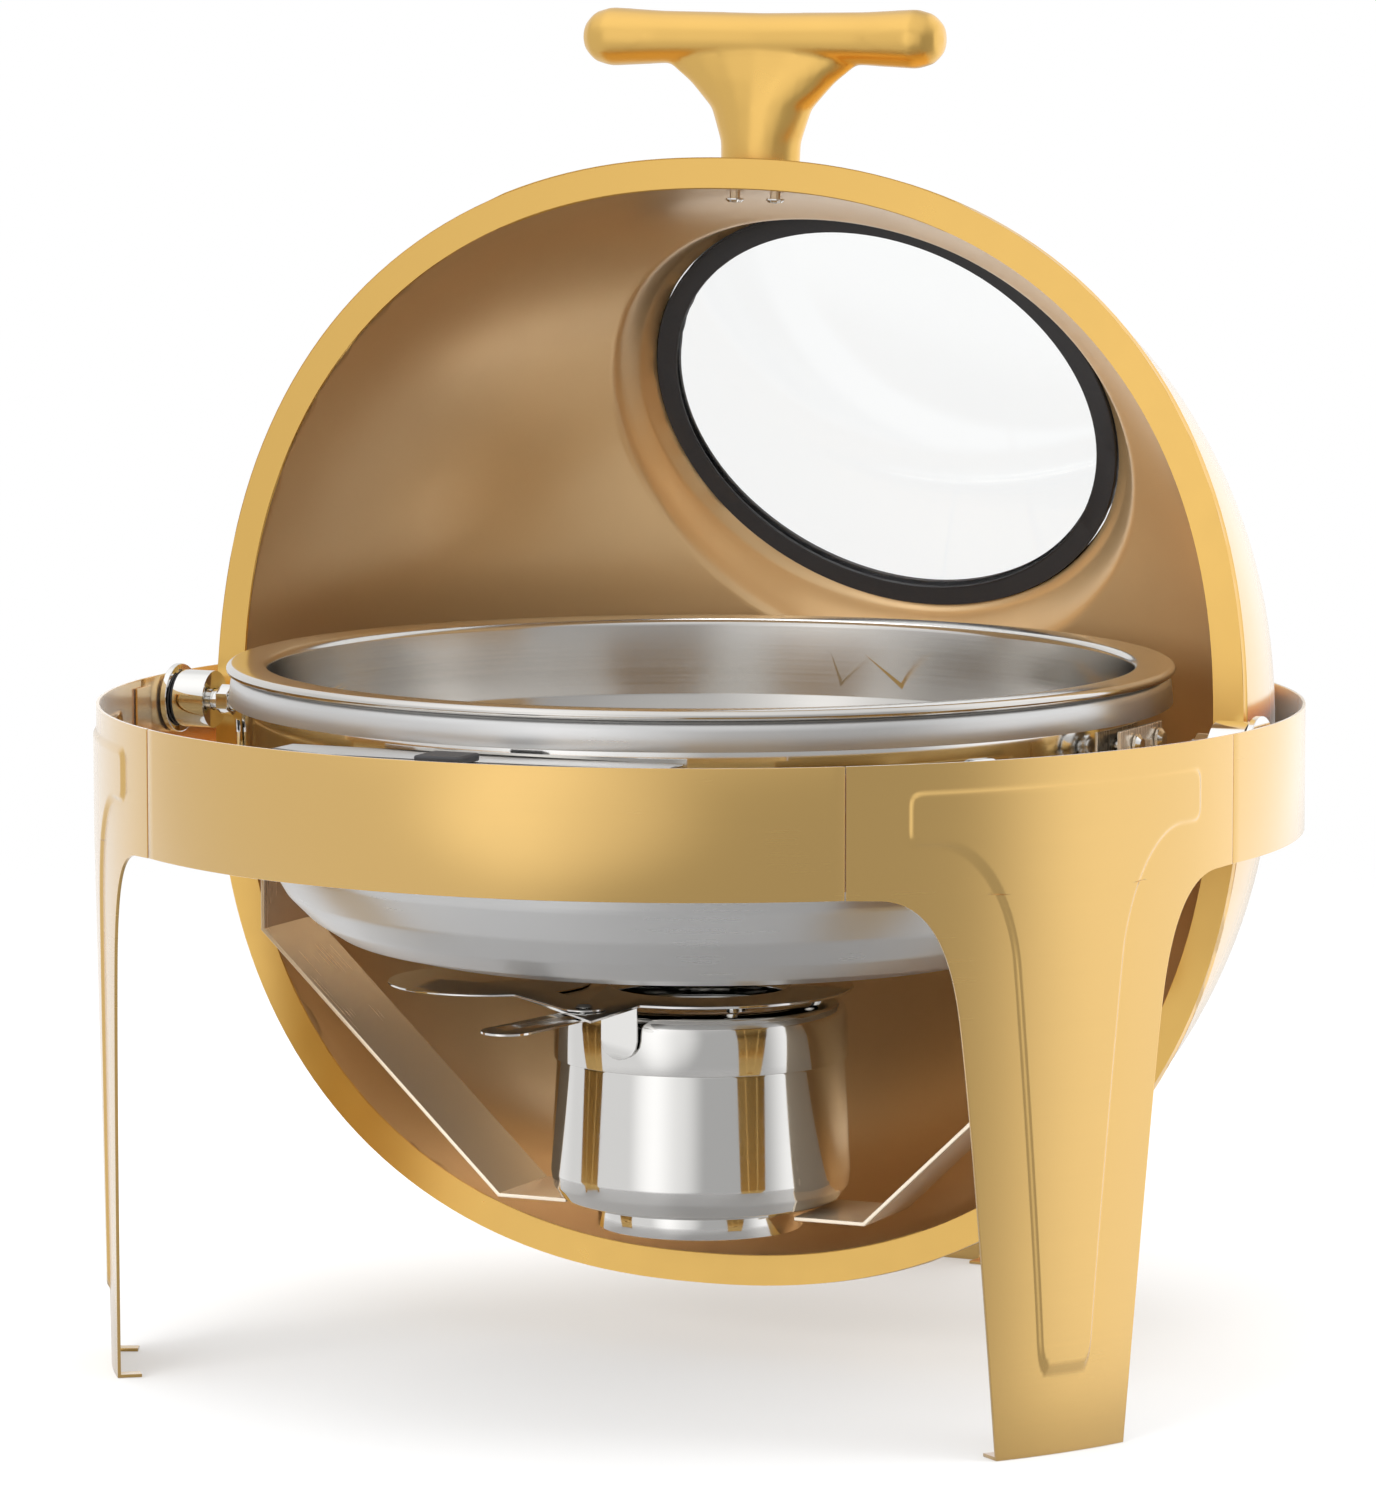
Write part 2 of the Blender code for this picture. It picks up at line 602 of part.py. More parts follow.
def dome_skin(name, radius, hole_height, material):
    """A thin domed skin with a round window hole, cut off just above the rim."""
    bm = bmesh.new()
    rings = []
    hole_angle = math.asin(WINDOW_HOLE_R / radius)
    angles = [hole_angle + math.radians(a) for a in (0, 1.3, 2.7, 4.0, 9.0)]
    while angles[-1] < math.radians(132):
        angles.append(angles[-1] + math.radians(10.5))
    for angle in angles:
        rings.append([(window_place.to_3x3() @ Vector((math.sin(angle) * math.cos(turn),
                                                     math.sin(angle) * math.sin(turn),
                                                     math.cos(angle))))
                      for turn in [math.tau * i / LID_SEGMENTS for i in range(LID_SEGMENTS)]])
    loops = []
    for number, ring in enumerate(rings):
        loop = []
        for direction in ring:
            point = rim_middle + direction * dome_radius(direction, radius)
            if number == 0:
                radial = direction - window_axis * direction.dot(window_axis)
                point = rim_middle + radial.normalized() * WINDOW_HOLE_R + window_axis * hole_height
            else:
                point = flare(point, hole_height)
            loop.append(bm.verts.new(point))
        loops.append([bm.edges.new((loop[i - 1], loop[i])) for i in range(len(loop))])
    for near, far in zip(loops, loops[1:]):
        bmesh.ops.bridge_loops(bm, edges=near + far)
    cut = rim_middle + Vector((0, 0, RIM_T + GAP))
    bmesh.ops.bisect_plane(bm, geom=bm.verts[:] + bm.edges[:] + bm.faces[:], plane_co=cut,
                           plane_no=(0, 0, -1), clear_outer=True, dist=1e-6)
    bmesh.ops.recalc_face_normals(bm, faces=bm.faces)
    if max(bm.faces, key=lambda f: f.calc_center_median().z).normal.z < 0:
        bmesh.ops.reverse_faces(bm, faces=bm.faces)
    mesh = bpy.data.meshes.new(name)
    bm.to_mesh(mesh)
    bm.free()
    skin = keep(name, mesh, material)
    wall = skin.modifiers.new("wall", "SOLIDIFY")
    wall.thickness = LID_SKIN
    wall.offset = -1.0
    wall.use_rim = True
    for x in SCREW_XS:
        hole = rod_mesh("hole", (x, -0.190, SCREW_Z), (x, -0.220, SCREW_Z), SCREW_R + GAP, 10)
        boolean(skin, hole, "DIFFERENCE")
    return on_lid(skin)


def lid_rim():
    """Flat flange that closes the double wall, with a short lip at its outer edge."""
    low = LID_RIM_Z
    profile = [(LID_INNER_R, low), (LID_RIM_R, low), (LID_RIM_R, low + 0.0040),
               (LID_RIM_R - 0.0012, low + 0.0040), (LID_RIM_R - 0.0012, low + RIM_T),
               (LID_INNER_R, low + RIM_T)]
    mesh = turned_mesh("lid_rim", profile, 64)
    for vert in mesh.vertices:
        radius = math.hypot(vert.co.x, vert.co.y)
        full = plan_level(vert.co.x / radius, vert.co.y / radius, 0.0)
        vert.co.x, vert.co.y = vert.co.x / full, vert.co.y / full
    on_lid(keep("lid_rim", mesh, gold))


def window():
    """Glass disc held in a grooved black gasket."""
    gasket = [(WINDOW_R, -0.0035), (GASKET_R, -0.0035), (GASKET_R, 0.0035), (WINDOW_R, 0.0035),
              (WINDOW_R, 0.0018), (WINDOW_R + 0.0038, 0.0018), (WINDOW_R + 0.0038, -0.0018),
              (WINDOW_R, -0.0018)]
    place = window_place @ Matrix.Translation((0, 0, WINDOW_OUT))
    ring = moved(turned_mesh("window_gasket", gasket, 48), place)
    on_lid(keep("window_gasket", ring, black))
    glass = [(0, -0.0015), (WINDOW_R + 0.0035, -0.0015), (WINDOW_R + 0.0035, 0.0015), (0, 0.0015)]
    on_lid(keep("window_glass", moved(turned_mesh("window_glass", glass, 48), place), clear))


def dome_solid(name, radius):
    """The dome filled in, for trimming what stands on it."""
    bm = bmesh.new()
    bmesh.ops.create_uvsphere(bm, u_segments=96, v_segments=64, radius=1.0)
    for vert in bm.verts:
        toward = vert.co.normalized()
        upward = Vector((toward.x, toward.y, abs(toward.z)))
        vert.co = rim_middle + toward * dome_radius(upward, radius)
    return bm_mesh(bm, name)


def lid_handle():
    """Cast T handle: a round-ended bar on a stem that narrows to the dome."""
    bm = bmesh.new()
    sections = [(0.200, 0.0155, 0.0110), (0.222, 0.0160, 0.0110), (0.235, 0.0205, 0.0108),
                (0.245, 0.0300, 0.0100), (0.254, 0.0420, 0.0085), (HANDLE_OUT, 0.0500, 0.0070)]
    loops = []
    for out, half_x, half_z in sections:
        outline = circle(1.0, 20)
        loop = [bm.verts.new((x * half_x, -out, HANDLE_Z + z * half_z)) for x, z in outline]
        loops.append([bm.edges.new((loop[i - 1], loop[i])) for i in range(len(loop))])
    for near, far in zip(loops, loops[1:]):
        bmesh.ops.bridge_loops(bm, edges=near + far)
    bmesh.ops.holes_fill(bm, edges=loops[0] + loops[-1], sides=0)
    handle = keep("lid_handle", bm_mesh(bm, "lid_handle"), gold)
    half = BAR_LENGTH / 2
    profile = [(0, half), (0.0060, half - 0.0012), (0.0096, half - 0.0050), (BAR_R, half - 0.0110),
               (BAR_R - 0.0012, half - 0.0330), (BAR_R - 0.0018, 0.0),
               (BAR_R - 0.0012, -half + 0.0330), (BAR_R, -half + 0.0110), (0.0096, -half + 0.0050),
               (0.0060, -half + 0.0012), (0, -half)]
    lie = Matrix.Translation((0, -HANDLE_OUT, HANDLE_Z)) @ Matrix.Rotation(math.radians(90), 4, "Y")
    boolean(handle, moved(turned_mesh("bar", profile, 20), lie), "UNION")
    boolean(handle, dome_solid("dome", LID_OUTER_R + GAP), "DIFFERENCE")
    for x in SCREW_XS:
        hole = rod_mesh("hole", (x, -0.190, SCREW_Z), (x, -0.2185, SCREW_Z), SCREW_R + GAP, 10)
        boolean(handle, hole, "DIFFERENCE")
    on_lid(handle)


def handle_screws():
    """Two screws from inside the lid into the handle's stem."""
    profile = [(0, 0.0018), (0.0026, 0.0015), (0.0036, 0.0006), (0.0036, 0), (SCREW_R, 0),
               (SCREW_R, -0.0140), (0, -0.0140)]
    turn = Matrix.Rotation(math.radians(-90), 4, "X")
    for word, x in zip(("left", "right"), SCREW_XS):
        place = Matrix.Translation((x, -LID_INNER_R + 0.0034, SCREW_Z)) @ turn
        screw = moved(turned_mesh("screw", profile, 12), place)
        on_lid(keep(f"{word}_handle_screw", screw, chrome))


def lid_hinge(name, side):
    """Hinge barrel on the pivot pin, with a lug that is riveted to the side of the dome."""
    width = BARREL_OUT - BARREL_IN
    barrel = flat_mesh(name, [circle(BARREL_R, 32), circle(PIN_R + GAP, 20)], width)
    turn = Matrix.Rotation(math.radians(90), 4, "Y")
    middle = side * (BARREL_OUT + BARREL_IN) / 2
    hinge = keep(name, moved(barrel, Matrix.Translation((middle, 0, 0)) @ turn), chrome)
    low, high = sorted((side * LUG_IN, side * LUG_OUT))
    lug = box_mesh("lug", (low, -0.0085, 0.0060), (high, 0.0085, 0.0460))
    boolean(hinge, lug, "UNION")
    low, high = sorted((side * 0.2000, side * (LUG_IN + 0.0005)))
    boolean(hinge, box_mesh("spacer", (low, -0.0085, 0.0220), (high, 0.0085, 0.0460)), "UNION")
    boolean(hinge, dome_solid("dome", LID_OUTER_R + GAP), "DIFFERENCE")
    for z in RIVET_ZS:
        start, end = (side * 0.2125, 0, z), (side * 0.2250, 0, z)
        boolean(hinge, rod_mesh("hole", start, end, SCREW_R + GAP, 10), "DIFFERENCE")
    on_lid(hinge)


def hinge_rivets():
    """Two domed rivets in each hinge lug."""
    profile = [(0, 0.0018), (0.0026, 0.0015), (0.0036, 0.0006), (0.0036, 0), (SCREW_R, 0),
               (SCREW_R, -0.0040), (0, -0.0040)]
    for word, side in SIDES:
        for z, level in zip(RIVET_ZS, ("lower", "upper")):
            turn = Matrix.Rotation(math.radians(side * 90), 4, "Y")
            place = Matrix.Translation((side * (LUG_OUT + GAP), 0, z)) @ turn
            rivet = moved(turned_mesh("rivet", profile, 12), place)
            on_lid(keep(f"{word}_{level}_hinge_rivet", rivet, chrome))


dome_skin("lid_shell", LID_OUTER_R, WINDOW_OUT + 0.0025, gold)
dome_skin("lid_liner", LID_INNER_R + LID_SKIN, WINDOW_OUT - 0.0015, satin)
lid_rim()
window()
lid_handle()
handle_screws()
lid_hinge("left_lid_hinge", -1)
lid_hinge("right_lid_hinge", 1)
hinge_rivets()


# Fuel holder ----------------------------------------------------------------------------------
CUP_BOTTOM = LEDGE_Z + ARM_T / 2 + GAP
CAP_BOTTOM = AXIS_Z - 0.1270
CAP_TOP = AXIS_Z - 0.1045
FOOT_RING_R = 0.0395
PLATE_TOP = PLATE_Z + PLATE_T / 2
PLATE_UNDER = PLATE_Z - PLATE_T / 2
EYE_R = 0.0085             # rounded end of disc and lever at the rivet
TIP_R = 0.0098             # rounded free end of the lever
DAMPER_T = 0.0008


def fuel_cup():
    """Open cup that holds the fuel can."""
    low = CUP_BOTTOM
    outside = [(0.0, low), (0.0480, low), (0.0535, low + 0.0020), (0.0566, low + 0.0065),
               (0.0574, low + 0.0120), (0.0551, CAP_BOTTOM - GAP), (0.0546, CAP_BOTTOM + 0.0005),
               (0.0546, CAP_TOP - 0.0080)]
    inside = [(0.0538, CAP_TOP - 0.0080), (0.0538, CAP_BOTTOM), (0.0566, low + 0.0125),
              (0.0559, low + 0.0070), (0.0531, low + 0.0028), (0.0478, low + 0.0008),
              (0.0, low + 0.0008)]
    turned("fuel_cup", outside + inside, chrome, 36)


def fuel_cap():
    """Collar cap over the cup, with a round flame opening."""
    outside = [(0.0362, CAP_TOP), (0.0490, CAP_TOP), (0.0535, CAP_TOP - 0.0012),
               (0.0556, CAP_TOP - 0.0040), (0.0561, CAP_TOP - 0.0080), (0.0564, CAP_BOTTOM)]
    inside = [(0.0556, CAP_BOTTOM), (0.0553, CAP_TOP - 0.0080), (0.0548, CAP_TOP - 0.0044),
              (0.0531, CAP_TOP - 0.0020), (0.0489, CAP_TOP - 0.0008), (0.0362, CAP_TOP - 0.0008)]
    turned("fuel_cap", outside + inside, chrome, 36)


def foot_ring():
    """Ring under the cup that sits between the two ledges."""
    top = CUP_BOTTOM - GAP
    low = top - 0.0090
    profile = [(FOOT_RING_R, top), (FOOT_RING_R, low), (FOOT_RING_R - 0.0012, low),
               (FOOT_RING_R - 0.0012, top)]
    turned("foot_ring", profile, chrome, 32)


def flame_plate():
    """Flat plate over the cap with the flame hole, a pointed ear for the damper and a clip tab."""
    first = math.atan2(-PLATE_R, 0.0017)
    last = math.radians(172)
    outline = circle(PLATE_R, 22, 0, 0, first, last)
    outline += [(-0.0604, -0.0458), (0.0018, -0.1015)]
    holes = [list(reversed(circle(FLAME_HOLE_R, 32))),
             list(reversed(circle(SCREW_R + GAP, 12, RIVET.x, RIVET.y)))]
    mesh = flat_mesh("flame_plate", [outline] + holes, PLATE_T)
    plate = keep("flame_plate", moved(mesh, Matrix.Translation((0, 0, PLATE_Z))), chrome)
    for angle in (15, 95, -50):
        x, y = 0.045 * math.cos(math.radians(angle)), 0.045 * math.sin(math.radians(angle))
        foot = rod_mesh("stud", (x, y, PLATE_Z), (x, y, CAP_TOP + GAP), 0.0025, 12)
        boolean(plate, foot, "UNION")
    tab = [(-0.0145, 0.0), (-0.0145, -0.0135)]
    tab += circle(0.0075, 9, -0.0070, -0.0135, math.pi, math.tau)[1:-1]
    tab += [(0.0005, -0.0135), (0.0005, 0.0)]
    clip = moved(flat_mesh("tab", [tab], PLATE_T), Matrix.Rotation(math.radians(90), 4, "X"))
    boolean(plate, moved(clip, Matrix.Translation((0, -0.0580, PLATE_Z))), "UNION")


def turn_about_rivet(angle):
    """Place a piece drawn along +X from the rivet, at a height of zero."""
    return Matrix.Translation((RIVET.x, RIVET.y, 0)) @ Matrix.Rotation(math.radians(angle), 4, "Z")


def damper():
    """Round damper disc on its arm above the plate, and the bent-out lever below it."""
    meet = math.asin(EYE_R / DAMPER_R)
    outline = circle(DAMPER_R, 28, DAMPER_REACH, 0, math.pi + meet - math.tau, math.pi - meet)
    outline += circle(EYE_R, 9, 0, 0, math.pi / 2, math.pi * 1.5)
    hole = list(reversed(circle(SCREW_R, 12)))
    disc = flat_mesh("damper_disc", [outline, hole], DAMPER_T)
    height = PLATE_TOP + GAP + DAMPER_T / 2
    disc.transform(Matrix.Translation((0, 0, height)) @ turn_about_rivet(DAMPER_OPEN))
    keep("damper_disc", disc, chrome)
    outline = circle(EYE_R, 9, 0, 0, math.pi / 2, math.pi * 1.5)
    outline += circle(TIP_R, 9, LEVER_LENGTH - TIP_R, 0, -math.pi / 2, math.pi / 2)
    lever = flat_mesh("damper_lever", [outline, hole], DAMPER_T)
    height = PLATE_UNDER - GAP - DAMPER_T / 2
    lever.transform(Matrix.Translation((0, 0, height)) @ turn_about_rivet(LEVER_DIRECTION))
    keep("damper_lever", lever, chrome)


def damper_rivet():
    """Rivet that joins the disc and the lever through the plate."""
    top = PLATE_TOP + 2 * GAP + DAMPER_T
    low = PLATE_UNDER - 2 * GAP - DAMPER_T
    radius = SCREW_R - GAP
    profile = [(0, top + 0.0010), (0.0022, top + 0.0009), (0.0036, top), (radius, top),
               (radius, low), (0.0030, low), (0.0030, low - 0.0006), (0, low - 0.0006)]
    place = Matrix.Translation((RIVET.x, RIVET.y, 0))
    keep("damper_rivet", moved(turned_mesh("damper_rivet", profile, 16), place), chrome)


fuel_cup()
fuel_cap()
foot_ring()
flame_plate()
damper()
damper_rivet()
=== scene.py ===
import json
import math

import bmesh
import bpy
import numpy as np
from mathutils import Matrix, Vector


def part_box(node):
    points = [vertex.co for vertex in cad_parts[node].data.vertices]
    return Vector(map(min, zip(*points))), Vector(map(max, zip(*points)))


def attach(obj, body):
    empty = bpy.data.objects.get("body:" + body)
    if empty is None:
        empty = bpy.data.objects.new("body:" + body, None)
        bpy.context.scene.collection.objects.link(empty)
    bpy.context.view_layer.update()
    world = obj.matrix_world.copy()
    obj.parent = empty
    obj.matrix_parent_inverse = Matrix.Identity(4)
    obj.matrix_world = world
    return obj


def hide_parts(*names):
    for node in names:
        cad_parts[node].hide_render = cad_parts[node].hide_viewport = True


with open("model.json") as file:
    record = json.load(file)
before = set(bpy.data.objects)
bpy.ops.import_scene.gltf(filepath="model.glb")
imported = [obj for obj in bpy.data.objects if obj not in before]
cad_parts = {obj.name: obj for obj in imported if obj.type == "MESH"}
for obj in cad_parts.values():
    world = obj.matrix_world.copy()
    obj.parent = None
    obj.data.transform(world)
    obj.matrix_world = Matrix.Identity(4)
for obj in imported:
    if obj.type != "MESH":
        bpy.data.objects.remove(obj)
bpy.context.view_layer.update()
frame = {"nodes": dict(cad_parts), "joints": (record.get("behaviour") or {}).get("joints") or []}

# Ring band ------------------------------------------------------------------------------------
# Three plain sections of gold plated sheet steel, 48 mm high and 1.2 mm thick. They are rolled
# to the ring's radius and end beside the legs, with a seam half a millimetre wide at each side.
lid_joint = next(j for j in frame["joints"] if j["name"] == "lid_roll")
AXIS = lid_joint["pos_m"][2]
SHEET = 0.0012
SEAM = 0.0005
RING_R = 0.2293
BAND_TOP = AXIS + 0.0100
BAND_BOTTOM = AXIS - 0.0376
FOOT_R = 0.2256


def metal(name, colour, roughness, grain, brushing=0.05, marks=0.05, tone=0.08, relief=0.03,
          lacquer=0.0, metallic=1.0, bloom=0.0):
    """A metal finish: fine brushed lines across the grain, soft hand marks and a shift of tone.

    lacquer is the weight of a clear coat and bloom the weight of a sheen at grazing angles.
    """
    made = bpy.data.materials.new(name)
    made.use_nodes = True
    nodes, links = made.node_tree.nodes, made.node_tree.links
    shader = nodes["Principled BSDF"]
    shader.inputs["Metallic"].default_value = metallic
    shader.inputs["Coat Weight"].default_value = lacquer
    shader.inputs["Coat Roughness"].default_value = 0.20
    shader.inputs["Coat IOR"].default_value = 1.9
    shader.inputs["Sheen Weight"].default_value = bloom
    shader.inputs["Sheen Roughness"].default_value = 0.35
    place = nodes.new("ShaderNodeTexCoord")
    stretch = nodes.new("ShaderNodeMapping")
    stretch.inputs["Scale"].default_value = grain
    links.new(place.outputs["Object"], stretch.inputs["Vector"])
    lines = nodes.new("ShaderNodeTexNoise")
    lines.inputs["Scale"].default_value = 1.0
    lines.inputs["Detail"].default_value = 3.0
    links.new(stretch.outputs["Vector"], lines.inputs["Vector"])
    hands = nodes.new("ShaderNodeTexNoise")
    hands.inputs["Scale"].default_value = 11.0
    hands.inputs["Detail"].default_value = 5.0
    hands.inputs["Roughness"].default_value = 0.6
    links.new(place.outputs["Object"], hands.inputs["Vector"])

    line_range = nodes.new("ShaderNodeMapRange")
    line_range.inputs["From Min"].default_value = 0.3
    line_range.inputs["From Max"].default_value = 0.7
    line_range.inputs["To Min"].default_value = roughness - brushing
    line_range.inputs["To Max"].default_value = roughness + brushing
    links.new(lines.outputs["Fac"], line_range.inputs["Value"])
    hand_range = nodes.new("ShaderNodeMapRange")
    hand_range.inputs["From Min"].default_value = 0.35
    hand_range.inputs["From Max"].default_value = 0.7
    hand_range.inputs["To Min"].default_value = -marks / 2
    hand_range.inputs["To Max"].default_value = marks
    links.new(hands.outputs["Fac"], hand_range.inputs["Value"])
    total = nodes.new("ShaderNodeMath")
    total.operation = "ADD"
    total.use_clamp = True
    links.new(line_range.outputs["Result"], total.inputs[0])
    links.new(hand_range.outputs["Result"], total.inputs[1])
    links.new(total.outputs["Value"], shader.inputs["Roughness"])

    shift = nodes.new("ShaderNodeMix")
    shift.data_type = "RGBA"
    shift.inputs["A"].default_value = (*colour, 1.0)
    shift.inputs["B"].default_value = (*[c * (1 - tone) for c in colour], 1.0)
    links.new(hands.outputs["Fac"], shift.inputs["Factor"])
    links.new(shift.outputs["Result"], shader.inputs["Base Color"])
    bump = nodes.new("ShaderNodeBump")
    bump.inputs["Strength"].default_value = relief
    bump.inputs["Distance"].default_value = 0.0003
    links.new(lines.outputs["Fac"], bump.inputs["Height"])
    links.new(bump.outputs["Normal"], shader.inputs["Normal"])
    return made


def polar(angle, radius, z):
    """A point on the ring: angle in degrees from the front towards the right."""
    a = math.radians(angle)
    return Vector((radius * math.sin(a), -radius * math.cos(a), z))


def sheet_radius(z):
    """Outer radius of the stand at a height: upright in the band, leaning in towards the feet."""
    if z >= BAND_BOTTOM:
        return RING_R
    return FOOT_R + (RING_R - FOOT_R) * z / BAND_BOTTOM


def thicken(bm, thickness):
    """Give a sheet its wall, inwards from the face that points out."""
    sheet = bpy.data.meshes.new("sheet")
    bm.to_mesh(sheet)
    bm.free()
    holder = bpy.data.objects.new("sheet", sheet)
    bpy.context.scene.collection.objects.link(holder)
    wall = holder.modifiers.new("wall", "SOLIDIFY")
    wall.thickness = thickness
    wall.offset = -1.0
    wall.use_even_offset = True
    solid = bmesh.new()
    solid.from_object(holder, bpy.context.evaluated_depsgraph_get())
    bpy.data.objects.remove(holder)
    return solid


def soften(bm, width, angle=50.0, segments=2):
    """Break the sharp edges, as tumbling or a file does."""
    sharp = [e for e in bm.edges
             if len(e.link_faces) == 2 and e.calc_face_angle(0.0) > math.radians(angle)]
    bmesh.ops.bevel(bm, geom=sharp, offset=width, offset_type="OFFSET", segments=segments,
                    profile=0.5, affect="EDGES", clamp_overlap=True, material=-1)
    return bm


def settle(bm, name, finish, body, slot, *nodes, smooth=32.0):
    """Close a piece: outward faces, finish, body, and the CAD nodes it stands for, which it hides. The
    slot argument is not used.
    """
    bmesh.ops.remove_doubles(bm, verts=bm.verts, dist=1e-6)
    bmesh.ops.recalc_face_normals(bm, faces=bm.faces)
    mesh = bpy.data.meshes.new(name)
    bm.to_mesh(mesh)
    bm.free()
    mesh.materials.append(finish)
    mesh.shade_smooth()
    mesh.set_sharp_from_angle(angle=math.radians(smooth))
    piece = bpy.data.objects.new(name, mesh)
    bpy.context.scene.collection.objects.link(piece)
    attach(piece, body)
    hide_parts(*nodes)
    return piece


GOLD = (0.86, 0.53, 0.13)
gold_sheet = metal("satin_gold_sheet", GOLD, 0.24, (4, 4, 1400), 0.015, 0.03, 0.05, 0.008, 0.9,
                   bloom=0.5)

for node, centre in (("front_band", 0.0), ("right_rear_band", 120.0), ("left_rear_band", -120.0)):
    half_angle = 37.5 - math.degrees(SEAM / 2 / RING_R)
    band = bmesh.new()
    foot_edge = [band.verts.new(polar(centre - half_angle, RING_R, z))
                 for z in (BAND_BOTTOM, BAND_TOP)]
    upright = band.edges.new(foot_edge)
    bmesh.ops.spin(band, geom=foot_edge + [upright], cent=(0, 0, 0), axis=(0, 0, 1),
                   angle=math.radians(2 * half_angle), steps=60)
    bmesh.ops.recalc_face_normals(band, faces=band.faces)
    for face in band.faces:
        middle = face.calc_center_median()
        if face.normal.dot(Vector((middle.x, middle.y, 0))) < 0:
            face.normal_flip()
    band = soften(thicken(band, SHEET), 0.0003)
    settle(band, node + "_sheet", gold_sheet, "stand", "satin_gold", node)

# Legs -----------------------------------------------------------------------------------------
# Three wide legs cut from the same sheet as the band. Each has a raised T panel pressed into it
# for stiffness, and two small tabs bent inwards at the ground.
# Open fault: the outline narrows abruptly under the band, and giving the sheet its wall and
# breaking its edges leaves stray points there, which reach inwards through the pans.
LEG_HALF = math.radians(22.5) * RING_R - SEAM / 2
FOOT_HALF = 0.0295
PRESSING = 0.0012
PRESSING_SLOPE = 0.0018
TAB_HALF = 0.0031
TAB_LENGTH = 0.0092
COLUMNS = 190


def curve_points(start, pull_start, pull_end, end, steps):
    """Points along a cubic curve, with both of its ends."""
    points = []
    for step in range(steps + 1):
        t = step / steps
        weights = ((1 - t) ** 3, 3 * t * (1 - t) ** 2, 3 * t * t * (1 - t), t ** 3)
        corners = (start, pull_start, pull_end, end)
        points.append(tuple(sum(w * p[i] for w, p in zip(weights, corners)) for i in (0, 1)))
    return points


sweep = curve_points((0.0790, BAND_BOTTOM - 0.0004), (0.0600, BAND_BOTTOM - 0.0006),
                     (0.0500, AXIS - 0.055), (0.0460, AXIS - 0.085), 42)
shin = curve_points((0.0460, AXIS - 0.085), (0.0420, AXIS - 0.112), (0.0345, AXIS - 0.190),
                    (FOOT_HALF, 0.0), 90)
leg_rows = [(LEG_HALF, BAND_TOP - (BAND_TOP - BAND_BOTTOM) * i / 50) for i in range(51)]
leg_rows += sweep + shin[1:]

panel_side = curve_points((0.0600, AXIS + 0.0006), (0.0655, AXIS + 0.0006),
                          (0.0670, AXIS - 0.0005), (0.0670, AXIS - 0.0055), 6)
panel_side += curve_points((0.0670, AXIS - 0.0140), (0.0670, AXIS - 0.0185),
                           (0.0650, AXIS - 0.0195), (0.0610, AXIS - 0.0197), 6)
panel_side += curve_points((0.0560, AXIS - 0.0198), (0.0400, AXIS - 0.0198),
                           (0.0280, AXIS - 0.0400), (0.0250, AXIS - 0.0620), 24)
panel_side += curve_points((0.0250, AXIS - 0.0620), (0.0220, AXIS - 0.0900),
                           (0.0150, AXIS - 0.1650), (0.0125, AXIS - 0.2030), 24)[1:]
panel_side += curve_points((0.0125, AXIS - 0.2030), (0.0120, AXIS - 0.2090),
                           (0.0105, AXIS - 0.2130), (0.0060, AXIS - 0.2130), 6)[1:]
panel_edge = np.array([(-x, z) for x, z in reversed(panel_side)] + panel_side)


def depth_inside(points, edge):
    """Distance of each point inside a closed outline, and zero for a point outside it."""
    nearest = np.full(len(points), 1e9)
    inside = np.zeros(len(points), bool)
    for a, b in zip(edge, np.roll(edge, -1, axis=0)):
        along = b - a
        t = np.clip(((points - a) @ along) / max(along @ along, 1e-12), 0, 1)
        nearest = np.minimum(nearest, np.linalg.norm(points - a - t[:, None] * along, axis=1))
        crosses = (a[1] > points[:, 1]) != (b[1] > points[:, 1])
        rise = b[1] - a[1] if abs(b[1] - a[1]) > 1e-12 else 1e-12
        inside ^= crosses & (points[:, 0] < a[0] + (points[:, 1] - a[1]) * along[0] / rise)
    return np.where(inside, nearest, 0.0)


